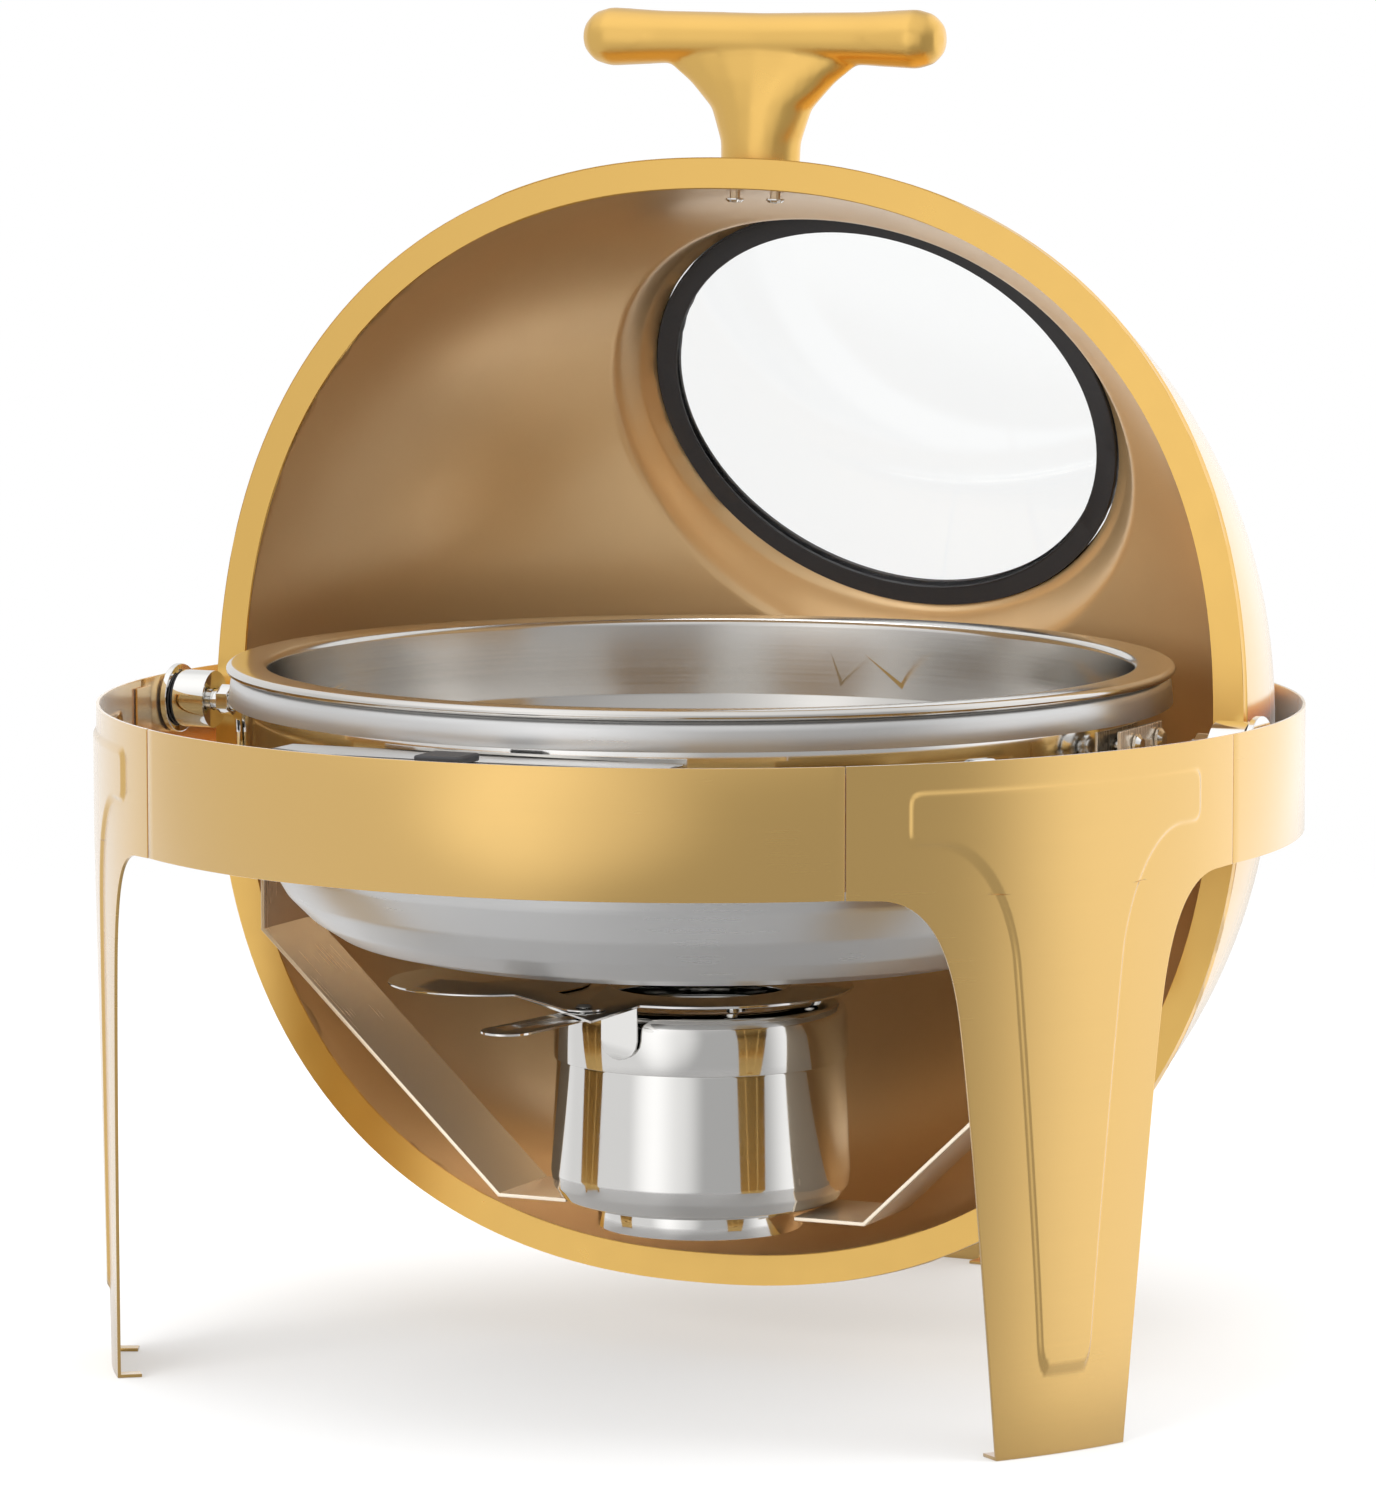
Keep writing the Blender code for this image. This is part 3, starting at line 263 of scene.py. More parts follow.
for node, centre in (("left_leg", -60.0), ("right_leg", 60.0), ("rear_leg", 180.0)):
    rows = len(leg_rows) - 1
    leg = bmesh.new()
    bmesh.ops.create_grid(leg, x_segments=COLUMNS, y_segments=rows, size=1.0)
    flat = []
    for vert in leg.verts:
        half, z = leg_rows[min(int(round((1 - vert.co.y) / 2 * rows)), rows)]
        flat.append((vert.co.x * half, z))
    depth = depth_inside(np.array(flat), panel_edge)
    step = np.clip(depth / PRESSING_SLOPE, 0, 1)
    rise = PRESSING * step * step * (3 - 2 * step)
    for vert, (along, z), out in zip(leg.verts, flat, rise):
        angle = centre + math.degrees(along / RING_R)
        vert.co = polar(angle, sheet_radius(z) + out, z)
    ground = [e for e in leg.edges if max(v.co.z for v in e.verts) < 1e-6]
    for side in (-1, 1):
        middle = polar(centre + side * math.degrees((FOOT_HALF - TAB_HALF) / RING_R), FOOT_R, 0)
        tab = [e for e in ground if ((e.verts[0].co + e.verts[1].co) / 2 - middle).length < TAB_HALF]
        bent = bmesh.ops.extrude_edge_only(leg, edges=tab)["geom"]
        inward = -Vector((middle.x, middle.y, 0)).normalized() * TAB_LENGTH
        tips = [g for g in bent if isinstance(g, bmesh.types.BMVert)]
        bmesh.ops.translate(leg, vec=inward, verts=tips)
    bmesh.ops.recalc_face_normals(leg, faces=leg.faces)
    top_middle = polar(centre, RING_R, BAND_TOP)
    shoulder = min(leg.faces, key=lambda f: (f.calc_center_median() - top_middle).length)
    if shoulder.normal.dot(polar(centre, 1.0, 0)) < 0:
        bmesh.ops.reverse_faces(leg, faces=leg.faces)
    leg = soften(thicken(leg, SHEET), 0.0003, 60.0)
    settle(leg, node + "_sheet", gold_sheet, "stand", "satin_gold", node, smooth=50.0)

# Seam straps ----------------------------------------------------------------------------------
# Six short strips of the same gold sheet, spot welded behind the seams to join legs and band.
def refined(node, name, finish, body, slot, edge=0.0003):
    """The solid of a CAD node with its facets merged and its edges broken."""
    bm = bmesh.new()
    bm.from_mesh(frame["nodes"][node].data)
    bmesh.ops.remove_doubles(bm, verts=bm.verts, dist=2e-6)
    bmesh.ops.dissolve_limit(bm, angle_limit=math.radians(1.0), verts=bm.verts, edges=bm.edges)
    return settle(soften(bm, edge), name, finish, body, slot, node, smooth=24.0)


for leg_name in ("left_leg", "right_leg", "rear_leg"):
    for end in ("near", "far"):
        node = f"{leg_name}_seam_strap_{end}"
        refined(node, node + "_strip", gold_sheet, "stand", "satin_gold", 0.0002)

# Pivots ---------------------------------------------------------------------------------------
# A polished steel flange with an 8 mm pin is welded inside the ring at each side. A rubber
# washer and a nut hold the lid's hinge barrel on it.
polished = metal("polished_steel", (0.88, 0.87, 0.85), 0.07, (6, 6, 900), 0.02, 0.04, 0.05, 0.006)


def rubber(name, colour, roughness, grain):
    """Matt moulded rubber with a fine skin."""
    made = bpy.data.materials.new(name)
    made.use_nodes = True
    nodes, links = made.node_tree.nodes, made.node_tree.links
    shader = nodes["Principled BSDF"]
    place = nodes.new("ShaderNodeTexCoord")
    skin = nodes.new("ShaderNodeTexNoise")
    skin.inputs["Scale"].default_value = grain
    skin.inputs["Detail"].default_value = 4.0
    links.new(place.outputs["Object"], skin.inputs["Vector"])
    shade = nodes.new("ShaderNodeMix")
    shade.data_type = "RGBA"
    shade.inputs["A"].default_value = (*colour, 1.0)
    shade.inputs["B"].default_value = (*[c * 1.6 for c in colour], 1.0)
    links.new(skin.outputs["Fac"], shade.inputs["Factor"])
    links.new(shade.outputs["Result"], shader.inputs["Base Color"])
    spread = nodes.new("ShaderNodeMapRange")
    spread.inputs["To Min"].default_value = roughness - 0.08
    spread.inputs["To Max"].default_value = roughness + 0.08
    links.new(skin.outputs["Fac"], spread.inputs["Value"])
    links.new(spread.outputs["Result"], shader.inputs["Roughness"])
    bump = nodes.new("ShaderNodeBump")
    bump.inputs["Strength"].default_value = 0.15
    bump.inputs["Distance"].default_value = 0.0002
    links.new(skin.outputs["Fac"], bump.inputs["Height"])
    links.new(bump.outputs["Normal"], shader.inputs["Normal"])
    return made


black_rubber = rubber("black_rubber", (0.022, 0.022, 0.024), 0.5, 900.0)
for side in ("left", "right"):
    refined(side + "_pivot_pin", side + "_pivot_flange", polished, "stand", "polished_steel")
    refined(side + "_pivot_washer", side + "_pivot_cushion", black_rubber, "stand", "black_rubber")
    refined(side + "_pin_nut", side + "_pivot_nut", polished, "stand", "polished_steel")

# Pan hoop and fuel arms -----------------------------------------------------------------------
# An upright steel hoop carries the pans. Two bent strips are bolted to it and come down to the
# ledges that hold the fuel holder, and two angle brackets tie the hoop to the front legs.
HOOP_R = 0.1746


def turned_sheet(points, thickness, corner=0.0, steps=160, closed_wall=True):
    """A line of (radius, height) points with rounded corners, turned about the middle."""
    bm = bmesh.new()
    line = [bm.verts.new((radius, 0.0, height)) for radius, height in points]
    for pair in zip(line, line[1:]):
        bm.edges.new(pair)
    if corner:
        bmesh.ops.bevel(bm, geom=line[1:-1], offset=corner, offset_type="OFFSET", segments=5,
                        profile=0.5, affect="VERTICES", clamp_overlap=True, material=-1)
    bmesh.ops.spin(bm, geom=bm.verts[:] + bm.edges[:], cent=(0, 0, 0), axis=(0, 0, 1),
                   angle=math.tau, steps=steps, use_merge=True)
    bmesh.ops.remove_doubles(bm, verts=bm.verts, dist=1e-6)
    bmesh.ops.recalc_face_normals(bm, faces=bm.faces)
    lowest = min(bm.faces, key=lambda f: f.calc_center_median().z)
    outward = lowest.calc_center_median().copy()
    outward.z = -0.05
    if lowest.normal.dot(outward) < 0:
        bmesh.ops.reverse_faces(bm, faces=bm.faces)
    return thicken(bm, thickness) if closed_wall else bm


hoop = turned_sheet([(HOOP_R, AXIS - 0.0200), (HOOP_R, AXIS + 0.0190)], 0.0015)
settle(soften(hoop, 0.0003), "pan_support_hoop", polished, "stand", "polished_steel", "pan_hoop")
strip_steel = metal("rolled_strip_steel", (0.94, 0.82, 0.66), 0.26, (4, 1400, 4), 0.008, 0.02,
                    0.03, 0.001, metallic=0.66)
for side in ("left", "right"):
    refined(side + "_fuel_arm", side + "_fuel_strip", strip_steel, "stand", "polished_steel")
    refined(side + "_pan_bracket", side + "_hoop_bracket", polished, "stand", "polished_steel")
    for end in ("front", "rear"):
        node = f"{side}_{end}_arm_bolt"
        refined(node, node + "_head", polished, "stand", "polished_steel", 0.0001)

# Front rest -----------------------------------------------------------------------------------
# A folded steel shelf behind the front band, with a rubber pad that the closed lid lands on.
refined("front_rest_plate", "front_rest_shelf", polished, "stand", "polished_steel")
refined("rest_pad", "rest_pad_block", black_rubber, "stand", "black_rubber", 0.0001)

# Water pan ------------------------------------------------------------------------------------
# A deep drawn steel pan. Its rim is rolled over into a short skirt that hangs on the hoop, and
# its underside is satin.
satin_steel = metal("satin_steel", (0.70, 0.70, 0.70), 0.30, (6, 6, 900), 0.02, 0.04, 0.06, 0.01,
                    metallic=0.88)
WATER_TOP = AXIS + 0.0207
water_line = [(0.0, AXIS - 0.0840), (0.1003, AXIS - 0.0840), (0.1204, AXIS - 0.0830),
              (0.1374, AXIS - 0.0789), (0.1486, AXIS - 0.0718), (0.1578, AXIS - 0.0627),
              (0.1650, AXIS - 0.0504), (0.1682, AXIS - 0.0300), (0.1684, WATER_TOP - 0.0032),
              (0.1720, WATER_TOP - 0.0004), (0.1760, WATER_TOP - 0.0001),
              (0.1778, WATER_TOP - 0.0025), (0.1786, AXIS + 0.0097)]
water = turned_sheet(water_line, 0.0008, 0.0014)
settle(soften(water, 0.0002), "water_pan_drawn", satin_steel, "water_pan", "satin_steel",
       "water_pan", smooth=40.0)

# Food pan -------------------------------------------------------------------------------------
# A round food pan of bright drawn steel with a flat brim and a rolled bead, which rests on the
# rim of the water pan.
bright_steel = metal("bright_drawn_steel", (0.74, 0.72, 0.69), 0.16, (6, 6, 900), 0.02, 0.04, 0.06, 0.01)
FOOD_TOP = AXIS + 0.0238
food_line = [(0.0, FOOD_TOP - 0.0620), (0.1353, FOOD_TOP - 0.0620), (0.1506, FOOD_TOP - 0.0579),
             (0.1604, FOOD_TOP - 0.0475), (0.1645, FOOD_TOP - 0.0300), (0.1653, FOOD_TOP - 0.0018),
             (0.1662, FOOD_TOP - 0.0004), (0.1785, FOOD_TOP - 0.0001), (0.1795, FOOD_TOP - 0.0012),
             (0.1788, FOOD_TOP - 0.0022)]
food = turned_sheet(food_line, 0.0009, 0.0006)
settle(soften(food, 0.0002), "food_pan_drawn", bright_steel, "food_pan", "satin_steel",
       "food_pan", smooth=40.0)

# Lid shell and liner --------------------------------------------------------------------------
# The lid is double walled: a gold plated outer dome and a satin steel inner one, 6 mm apart.
# Both are drawn up round the window into a flat raised seat. It is made closed, then opened.
LID_OPEN = math.radians(lid_joint["range_deg"][1])
RIM_Z = 0.0117
RIM_T = 0.0012
OUTER_R = 0.2100
INNER_R = 0.2038
FULLNESS = 2.2
PLAN_FULLNESS = 2.28
WINDOW_TILT = math.radians(36.7)
WINDOW_OUT = 0.2000
HOLE_R = 0.0987
FLARE_R = 0.1115
open_lid = Matrix.Translation((0, 0, AXIS)) @ Matrix.Rotation(-LID_OPEN, 4, "X")
rim_middle = Vector((0, 0, RIM_Z))
window_axis = Vector((0, -math.sin(WINDOW_TILT), math.cos(WINDOW_TILT)))
face_window = Matrix.Rotation(WINDOW_TILT, 4, "X")


def outline_level(x, y, rise):
    """Length of (x, y) measured on the lid's outline, which rounds off as the dome rises."""
    power = 2 + (PLAN_FULLNESS - 2) * (1 - rise) ** 2
    return (abs(x) ** power + abs(y) ** power) ** (1 / power)


def dome_sheet(radius, seat_height):
    """A full dome whose rings run round the window, with the raised seat, cut off at the rim."""
    bm = bmesh.new()
    first = math.asin(HOLE_R / radius)
    angles = [first + math.radians(a) for a in np.linspace(0, 5.2, 14)]
    while angles[-1] < math.radians(132):
        angles.append(angles[-1] + math.radians(1.7))
    line = [bm.verts.new((math.sin(a), 0.0, math.cos(a))) for a in angles]
    for pair in zip(line, line[1:]):
        bm.edges.new(pair)
    bmesh.ops.spin(bm, geom=bm.verts[:] + bm.edges[:], cent=(0, 0, 0), axis=(0, 0, 1),
                   angle=math.tau, steps=176, use_merge=True)
    bm.transform(face_window)
    for vert in bm.verts:
        toward = vert.co.normalized()
        rise = min(max(toward.z, 0.0), 1.0)
        level = outline_level(toward.x, toward.y, rise)
        reach = radius / (level ** FULLNESS + rise ** FULLNESS) ** (1 / FULLNESS)
        point = rim_middle + toward * reach
        from_middle = point - rim_middle
        height = from_middle.dot(window_axis)
        across = (from_middle - window_axis * height).length
        if height > 0 and across < FLARE_R:
            t = min((FLARE_R - across) / (FLARE_R - HOLE_R), 1.0)
            point += window_axis * t * t * (3 - 2 * t) * (seat_height - height)
        vert.co = point
    hole = [v for v in bm.verts if any(len(e.link_faces) == 1 for e in v.link_edges) and v.co.z > 0.05]
    for vert in hole:
        radial = vert.co - rim_middle
        radial -= window_axis * radial.dot(window_axis)
        vert.co = rim_middle + radial.normalized() * HOLE_R + window_axis * seat_height
    bmesh.ops.bisect_plane(bm, geom=bm.verts[:] + bm.edges[:] + bm.faces[:],
                           plane_co=rim_middle + Vector((0, 0, RIM_T + 0.0001)),
                           plane_no=(0, 0, -1), clear_outer=True, dist=1e-6)
    bmesh.ops.recalc_face_normals(bm, faces=bm.faces)
    top = max(bm.faces, key=lambda f: f.calc_center_median().z)
    if top.normal.z < 0:
        bmesh.ops.reverse_faces(bm, faces=bm.faces)
    return bm


gold_dome = metal("satin_gold_dome", GOLD, 0.22, (4, 1400, 4), 0.015, 0.03, 0.05, 0.008, 0.9,
                  bloom=0.5)
liner_steel = metal("satin_liner_steel", (0.86, 0.58, 0.29), 0.31, (4, 1400, 4), 0.008, 0.05, 0.12,
                    0.001, 0.3, 0.70)

shell = thicken(dome_sheet(OUTER_R, WINDOW_OUT + 0.0025), 0.0010)
shell.transform(open_lid)
settle(soften(shell, 0.0002, 60), "lid_outer_dome", gold_dome, "lid", "satin_gold", "lid_shell",
       smooth=45.0)
liner = thicken(dome_sheet(INNER_R + 0.0010, WINDOW_OUT - 0.0015), 0.0010)
liner.transform(open_lid)
settle(soften(liner, 0.0002, 60), "lid_inner_dome", liner_steel, "lid", "satin_steel",
       "lid_liner", smooth=45.0)

# Lid rim --------------------------------------------------------------------------------------
# A flat gold flange closes the gap between the two domes. Its outer edge turns up into a lip.
RIM_R = 0.2150
rim = bmesh.new()
rim_points = [(INNER_R, RIM_Z), (RIM_R, RIM_Z), (RIM_R, RIM_Z + 0.0040),
              (RIM_R - RIM_T, RIM_Z + 0.0040), (RIM_R - RIM_T, RIM_Z + RIM_T),
              (INNER_R, RIM_Z + RIM_T)]
rim_corners = [rim.verts.new((radius, 0.0, z)) for radius, z in rim_points]
rim_loop = [rim.edges.new((rim_corners[i - 1], rim_corners[i])) for i in range(6)]
bmesh.ops.spin(rim, geom=rim_corners + rim_loop, cent=(0, 0, 0), axis=(0, 0, 1), angle=math.tau,
               steps=200, use_merge=True)
for vert in rim.verts:
    radius = math.hypot(vert.co.x, vert.co.y)
    full = outline_level(vert.co.x / radius, vert.co.y / radius, 0.0)
    vert.co.x, vert.co.y = vert.co.x / full, vert.co.y / full
rim.transform(open_lid)
gold_rim = metal("satin_gold_rim", GOLD, 0.30, (90, 90, 90), 0.015, 0.03, 0.05, 0.01, 0.3)
settle(soften(rim, 0.0004), "lid_rim_flange", gold_rim, "lid", "satin_gold", "lid_rim")

# Window ---------------------------------------------------------------------------------------
# A round pane of tempered glass in a black rubber gasket, which clips over the edges of both
# domes.
WINDOW_R = 0.0890
GASKET_R = 0.0974


def turned_ring(points, place, steps=128):
    """A closed line of (radius, height) points turned into a ring and put in its place."""
    bm = bmesh.new()
    line = [bm.verts.new((radius, 0.0, height)) for radius, height in points]
    edges = [bm.edges.new((line[i - 1], line[i])) for i in range(len(line))
             if points[i - 1][0] > 0 or points[i][0] > 0]
    bmesh.ops.spin(bm, geom=line + edges, cent=(0, 0, 0), axis=(0, 0, 1), angle=math.tau,
                   steps=steps, use_merge=True)
    bmesh.ops.remove_doubles(bm, verts=bm.verts, dist=1e-6)
    bm.transform(place)
    return bm


def clear_glass(name):
    """Clear tempered glass with a trace of wiping marks."""
    made = bpy.data.materials.new(name)
    made.use_nodes = True
    nodes, links = made.node_tree.nodes, made.node_tree.links
    shader = nodes["Principled BSDF"]
    shader.inputs["Base Color"].default_value = (0.97, 0.98, 0.98, 1.0)
    shader.inputs["Transmission Weight"].default_value = 1.0
    shader.inputs["IOR"].default_value = 1.46
    place = nodes.new("ShaderNodeTexCoord")
    wiped = nodes.new("ShaderNodeTexNoise")
    wiped.inputs["Scale"].default_value = 9.0
    wiped.inputs["Detail"].default_value = 3.0
    spread = nodes.new("ShaderNodeMapRange")
    spread.inputs["To Min"].default_value = 0.01
    spread.inputs["To Max"].default_value = 0.06
    links.new(place.outputs["Object"], wiped.inputs["Vector"])
    links.new(wiped.outputs["Fac"], spread.inputs["Value"])
    links.new(spread.outputs["Result"], shader.inputs["Roughness"])
    return made


window_place = (open_lid @ Matrix.Translation(rim_middle) @ face_window
                @ Matrix.Translation((0, 0, WINDOW_OUT)))
gasket_line = [(WINDOW_R, -0.0035), (GASKET_R, -0.0035), (GASKET_R, 0.0035), (WINDOW_R, 0.0035),
               (WINDOW_R, 0.0018), (WINDOW_R + 0.0038, 0.0018), (WINDOW_R + 0.0038, -0.0018),
               (WINDOW_R, -0.0018)]
settle(soften(turned_ring(gasket_line, window_place), 0.0007, segments=3), "window_gasket_ring",
       black_rubber, "lid", "black_rubber", "window_gasket")
glass_line = [(0, -0.0015), (WINDOW_R + 0.0035, -0.0015), (WINDOW_R + 0.0035, 0.0015), (0, 0.0015)]
settle(turned_ring(glass_line, window_place), "window_pane", clear_glass("tempered_glass"), "lid",
       "clear_glass", "window_glass")

# Handle ---------------------------------------------------------------------------------------
# A cast T handle, gold plated and satin. Two screws from inside the lid hold its stem.
cast_gold = metal("satin_gold_casting", GOLD, 0.30, (40, 40, 40), 0.02, 0.04, 0.05, 0.01, 0.3)


def cast(node, voxel, rounds):
    """A CAD solid rounded all over, as a polished casting is."""
    bm = bmesh.new()
    bm.from_mesh(frame["nodes"][node].data)
    bmesh.ops.remove_doubles(bm, verts=bm.verts, dist=2e-6)
    mesh = bpy.data.meshes.new("casting")
    bm.to_mesh(mesh)
    bm.free()
    holder = bpy.data.objects.new("casting", mesh)
    bpy.context.scene.collection.objects.link(holder)
    remesh = holder.modifiers.new("even", "REMESH")
    remesh.mode = "VOXEL"
    remesh.voxel_size = voxel
    smooth = holder.modifiers.new("polished", "SMOOTH")
    smooth.factor = 0.5
    smooth.iterations = rounds
    solid = bmesh.new()
    solid.from_object(holder, bpy.context.evaluated_depsgraph_get())
    bpy.data.objects.remove(holder)
    solid.normal_update()
    for vert in solid.verts:
        vert.co += vert.normal * 0.0002
    return solid


settle(cast("lid_handle", 0.0011, 10), "lid_handle_casting", cast_gold, "lid", "satin_gold",
       "lid_handle", smooth=70.0)
for side in ("left", "right"):
    refined(side + "_handle_screw", side + "_handle_screw_head", polished, "lid",
            "polished_steel", 0.0001)

# Hinges ---------------------------------------------------------------------------------------
# A polished barrel turns on each pivot pin. Its lug is riveted to the side of the dome.
for side in ("left", "right"):
    refined(side + "_lid_hinge", side + "_hinge_barrel", polished, "lid", "polished_steel")
    for level in ("lower", "upper"):
        node = f"{side}_{level}_hinge_rivet"
        refined(node, node + "_head", polished, "lid", "polished_steel", 0.0001)

# Fuel cup -------------------------------------------------------------------------------------
# A polished spun cup for a can of chafing fuel. The ring under it drops between the two ledges.
cup_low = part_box("fuel_cup")[0].z
CAP_BOTTOM = AXIS - 0.1270
CAP_TOP = AXIS - 0.1045
cup_line = [(0.0, cup_low), (0.0480, cup_low), (0.0535, cup_low + 0.0020),
            (0.0566, cup_low + 0.0065), (0.0574, cup_low + 0.0120),
            (0.0551, CAP_BOTTOM - 0.0003), (0.0546, CAP_BOTTOM + 0.0008),
            (0.0546, CAP_TOP - 0.0080)]
settle(soften(turned_sheet(cup_line, 0.0008, 0.0010), 0.0002), "fuel_cup_spun", polished,
       "fuel_holder", "polished_steel", "fuel_cup", smooth=40.0)
ring_low, ring_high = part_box("foot_ring")
ring_line = [(ring_high.x, ring_low.z), (ring_high.x, ring_high.z)]
settle(soften(turned_sheet(ring_line, 0.0012), 0.0003), "cup_foot_ring", polished, "fuel_holder",
       "polished_steel", "foot_ring")

# Fuel cover -----------------------------------------------------------------------------------
# A polished collar drops over the cup. The flat plate on it has the flame hole, a clip tab, and
# an ear for the damper.
cap_line = [(0.0564, CAP_BOTTOM), (0.0561, CAP_TOP - 0.0080), (0.0556, CAP_TOP - 0.0040),
            (0.0535, CAP_TOP - 0.0012), (0.0490, CAP_TOP), (0.0362, CAP_TOP)]
settle(soften(turned_sheet(cap_line, 0.0008, 0.0012), 0.0002), "fuel_cap_spun", polished,
       "fuel_cover", "polished_steel", "fuel_cap", smooth=40.0)
refined("flame_plate", "flame_plate_cut", polished, "fuel_cover", "polished_steel", 0.0002)

# Damper ---------------------------------------------------------------------------------------
# A round disc above the plate and a lever below it turn together on one rivet, and close the
# flame hole.
refined("damper_disc", "damper_disc_cut", polished, "damper", "polished_steel", 0.0002)
refined("damper_lever", "damper_lever_cut", polished, "damper", "polished_steel", 0.0002)
refined("damper_rivet", "damper_rivet_head", polished, "damper", "polished_steel", 0.0001)

# Studio ---------------------------------------------------------------------------------------
# A pale floor that fades out into a white surround, and large soft lights. The metal mirrors a
# darker floor, a painted shade under the stand that only reflections see, and soft areas of the surround
# in place of the lights.
FLOOR_RADIUS = 6.0
floor_mesh = bmesh.new()
bmesh.ops.create_circle(floor_mesh, cap_ends=True, segments=96, radius=FLOOR_RADIUS)
floor_data = bpy.data.meshes.new("studio_floor")
floor_mesh.to_mesh(floor_data)
floor_mesh.free()
floor = bpy.data.objects.new("studio_floor", floor_data)
bpy.context.scene.collection.objects.link(floor)
floor.location.z = -0.0002
floor_paint = bpy.data.materials.new("pale_floor")
floor_paint.use_nodes = True
nodes, links = floor_paint.node_tree.nodes, floor_paint.node_tree.links
paint = nodes["Principled BSDF"]
paint.inputs["Base Color"].default_value = (0.90, 0.90, 0.90, 1.0)
paint.inputs["Roughness"].default_value = 0.75
paint.inputs["Specular IOR Level"].default_value = 0.2
place = nodes.new("ShaderNodeTexCoord")
away = nodes.new("ShaderNodeVectorMath")
away.operation = "LENGTH"
fade = nodes.new("ShaderNodeMapRange")
fade.interpolation_type = "SMOOTHSTEP"
fade.inputs["From Min"].default_value = 0.55
fade.inputs["From Max"].default_value = 1.5
fade.inputs["To Min"].default_value = 0.35
through = nodes.new("ShaderNodeBsdfTransparent")
blend = nodes.new("ShaderNodeMixShader")
# Painted shade: reflections see a dark grey floor under the stand, which fades out between 0.23 and 0.36
# m from the middle.
reflected_floor_shade = nodes.new("ShaderNodeBsdfDiffuse")
reflected_floor_shade.inputs["Color"].default_value = (0.35, 0.35, 0.35, 1.0)
reflected_shade_fade = nodes.new("ShaderNodeMapRange")
reflected_shade_fade.interpolation_type = "SMOOTHSTEP"
reflected_shade_fade.inputs["From Min"].default_value = 0.23
reflected_shade_fade.inputs["From Max"].default_value = 0.36
reflected_shade_blend = nodes.new("ShaderNodeMixShader")
floor_rays = nodes.new("ShaderNodeLightPath")
floor_mix = nodes.new("ShaderNodeMixShader")
links.new(away.outputs["Value"], reflected_shade_fade.inputs["Value"])
links.new(reflected_shade_fade.outputs["Result"], reflected_shade_blend.inputs["Fac"])
links.new(reflected_floor_shade.outputs["BSDF"], reflected_shade_blend.inputs[1])
links.new(through.outputs["BSDF"], reflected_shade_blend.inputs[2])
links.new(floor_rays.outputs["Is Glossy Ray"], floor_mix.inputs["Fac"])
links.new(paint.outputs["BSDF"], floor_mix.inputs[1])
links.new(reflected_shade_blend.outputs["Shader"], floor_mix.inputs[2])
links.new(place.outputs["Object"], away.inputs[0])
links.new(away.outputs["Value"], fade.inputs["Value"])
links.new(fade.outputs["Result"], blend.inputs["Fac"])
links.new(floor_mix.outputs["Shader"], blend.inputs[1])
links.new(through.outputs["BSDF"], blend.inputs[2])
links.new(blend.outputs["Shader"], nodes["Material Output"].inputs["Surface"])
floor_data.materials.append(floor_paint)

surround = bpy.data.worlds.new("white_surround")
bpy.context.scene.world = surround
surround.use_nodes = True
nodes, links = surround.node_tree.nodes, surround.node_tree.links
sky = nodes["Background"]
around = nodes.new("ShaderNodeTexCoord")
total = None
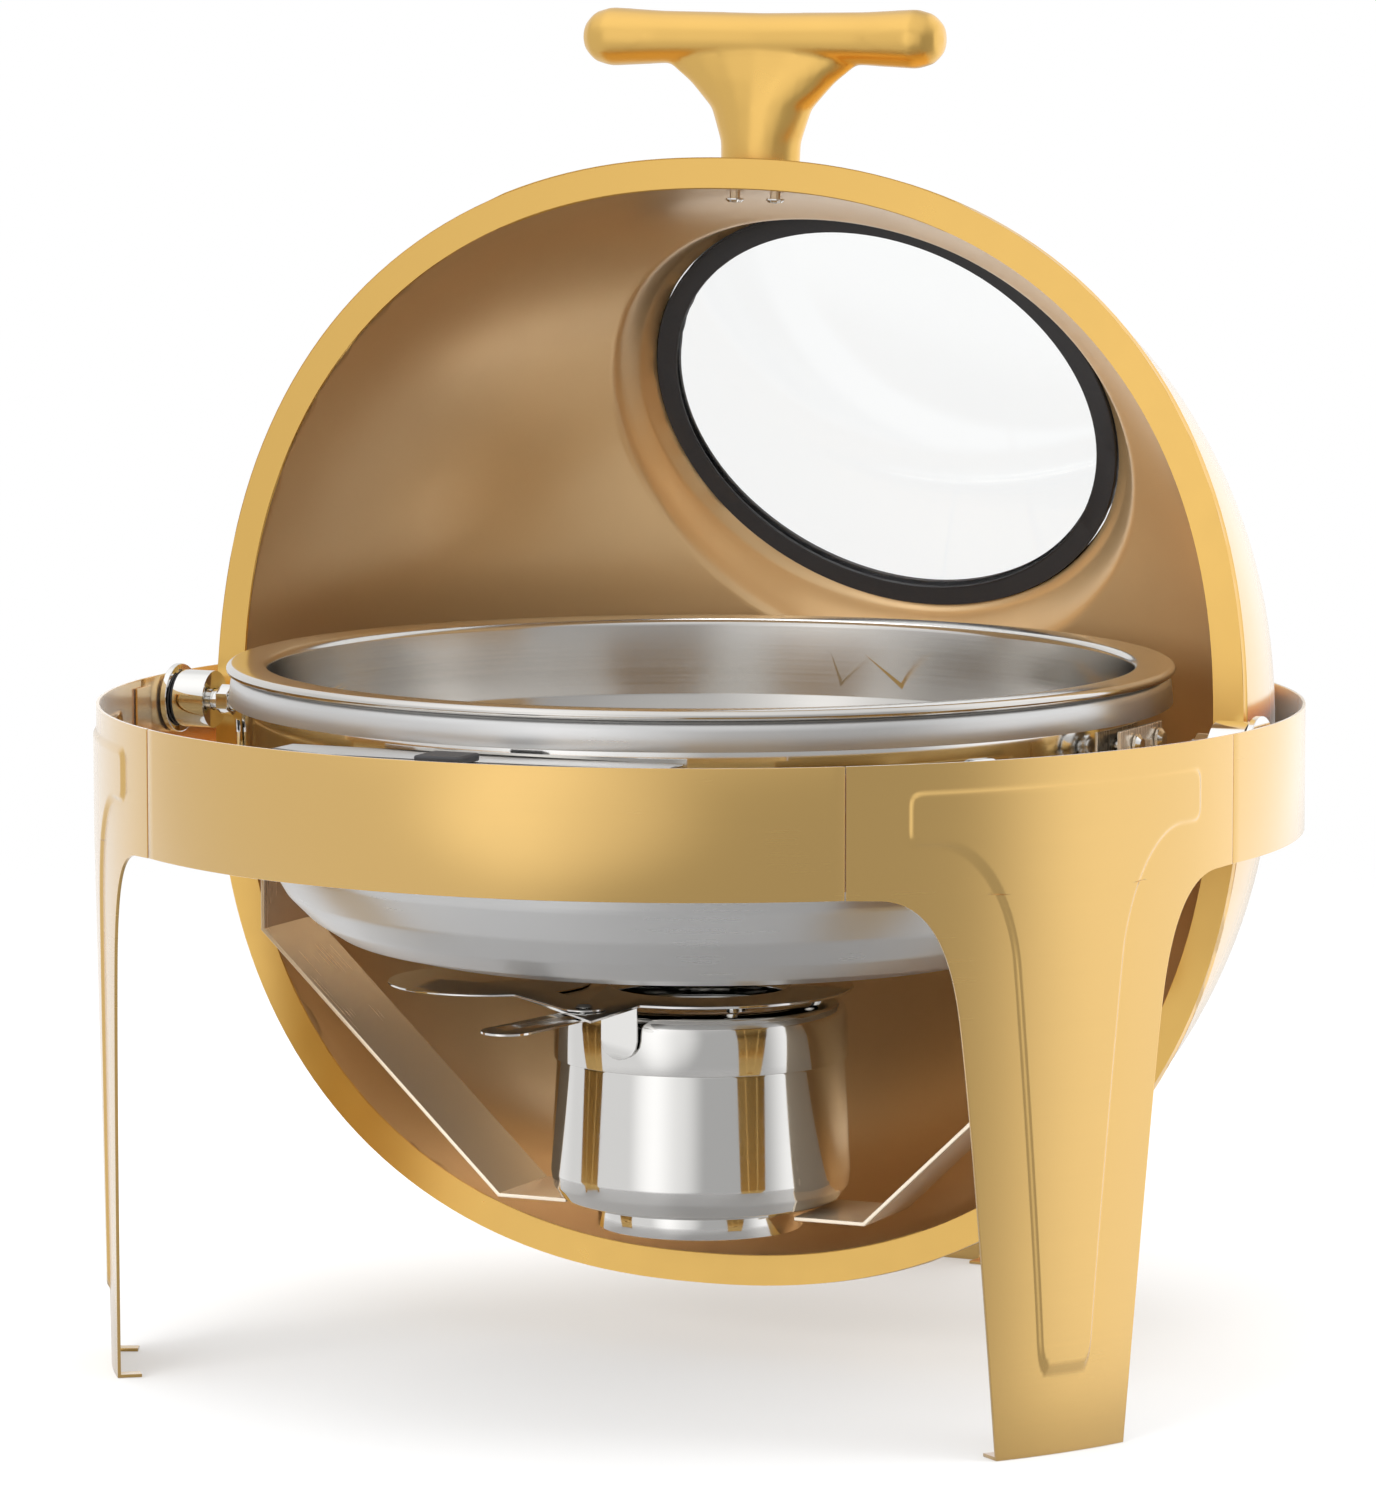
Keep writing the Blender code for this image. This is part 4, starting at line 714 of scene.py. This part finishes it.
# Each soft area: direction, cosine where it starts and where it is full, and brightness.
for toward, start, full, level in (((0.0, 0.0, 1.0), -2.0, -1.5, 0.43),
                                   ((-0.05, -1.0, 0.0), 0.85, 1.00, 0.45),
                                   ((-0.987, -0.160, 0.0), 0.0, 0.39, 0.30),
                                   ((0.647, 0.763, 0.05), 0.37, 0.78, 0.62),
                                   ((-0.30, 0.95, 0.10), 0.30, 0.60, 0.12),
                                   ((0.0, -0.35, 0.94), 0.35, 1.00, 0.50)):
    facing = nodes.new("ShaderNodeVectorMath")
    facing.operation = "DOT_PRODUCT"
    facing.inputs[1].default_value = Vector(toward).normalized()
    links.new(around.outputs["Generated"], facing.inputs[0])
    area = nodes.new("ShaderNodeMapRange")
    area.interpolation_type = "SMOOTHSTEP"
    area.inputs["From Min"].default_value = start
    area.inputs["From Max"].default_value = full
    area.inputs["To Max"].default_value = level
    links.new(facing.outputs["Value"], area.inputs["Value"])
    if total is None:
        total = area.outputs["Result"]
        continue
    join = nodes.new("ShaderNodeMath")
    links.new(total, join.inputs[0])
    links.new(area.outputs["Result"], join.inputs[1])
    total = join.outputs["Value"]
rays = nodes.new("ShaderNodeLightPath")
seen = nodes.new("ShaderNodeMath")
seen.operation = "MAXIMUM"
strength = nodes.new("ShaderNodeMix")
strength.inputs["B"].default_value = 1.0
links.new(rays.outputs["Is Camera Ray"], seen.inputs[0])
links.new(rays.outputs["Is Transmission Ray"], seen.inputs[1])
links.new(seen.outputs["Value"], strength.inputs["Factor"])
links.new(total, strength.inputs["A"])
links.new(strength.outputs["Result"], sky.inputs["Strength"])
sky.inputs["Color"].default_value = (1.0, 1.0, 1.0, 1.0)

for name, spot, size, power in (("front_light", (-1.0, -3.2, 0.9), (2.4, 1.6), 105),
                                ("right_light", (2.6, 0.2, 1.2), (1.2, 2.2), 18),
                                ("top_light", (0.0, 0.2, 3.0), (3.0, 3.0), 50)):
    lamp = bpy.data.lights.new(name, "AREA")
    lamp.shape = "RECTANGLE"
    lamp.size, lamp.size_y = size
    lamp.energy = power
    holder = bpy.data.objects.new(name, lamp)
    holder.location = spot
    toward_ring = Vector((0, 0, AXIS)) - Vector(spot)
    holder.rotation_euler = toward_ring.to_track_quat("-Z", "Y").to_euler()
    holder.visible_glossy = False
    bpy.context.scene.collection.objects.link(holder)

# Camera ---------------------------------------------------------------------------------------
# A long lens a little above the ring, turned to the right of the front.
target = Vector((0, 0, AXIS))
azimuth, elevation, distance = math.radians(24.711), math.radians(6.396), 2.8364
back = Vector((math.sin(azimuth) * math.cos(elevation), -math.cos(azimuth) * math.cos(elevation),
               math.sin(elevation)))
lens = bpy.data.cameras.new("camera")
lens.lens = 178.9
lens.sensor_width = 36.0
lens.shift_x = -0.0086
lens.shift_y = -0.0173
lens.clip_start = 0.05
lens.clip_end = 60.0
camera = bpy.data.objects.new("camera", lens)
camera.location = target + back * distance
camera.rotation_euler = (-back).to_track_quat("-Z", "Y").to_euler()
bpy.context.scene.collection.objects.link(camera)
bpy.context.scene.camera = camera
bpy.context.scene.view_settings.view_transform = "Standard"
bpy.context.scene.view_settings.look = "None"
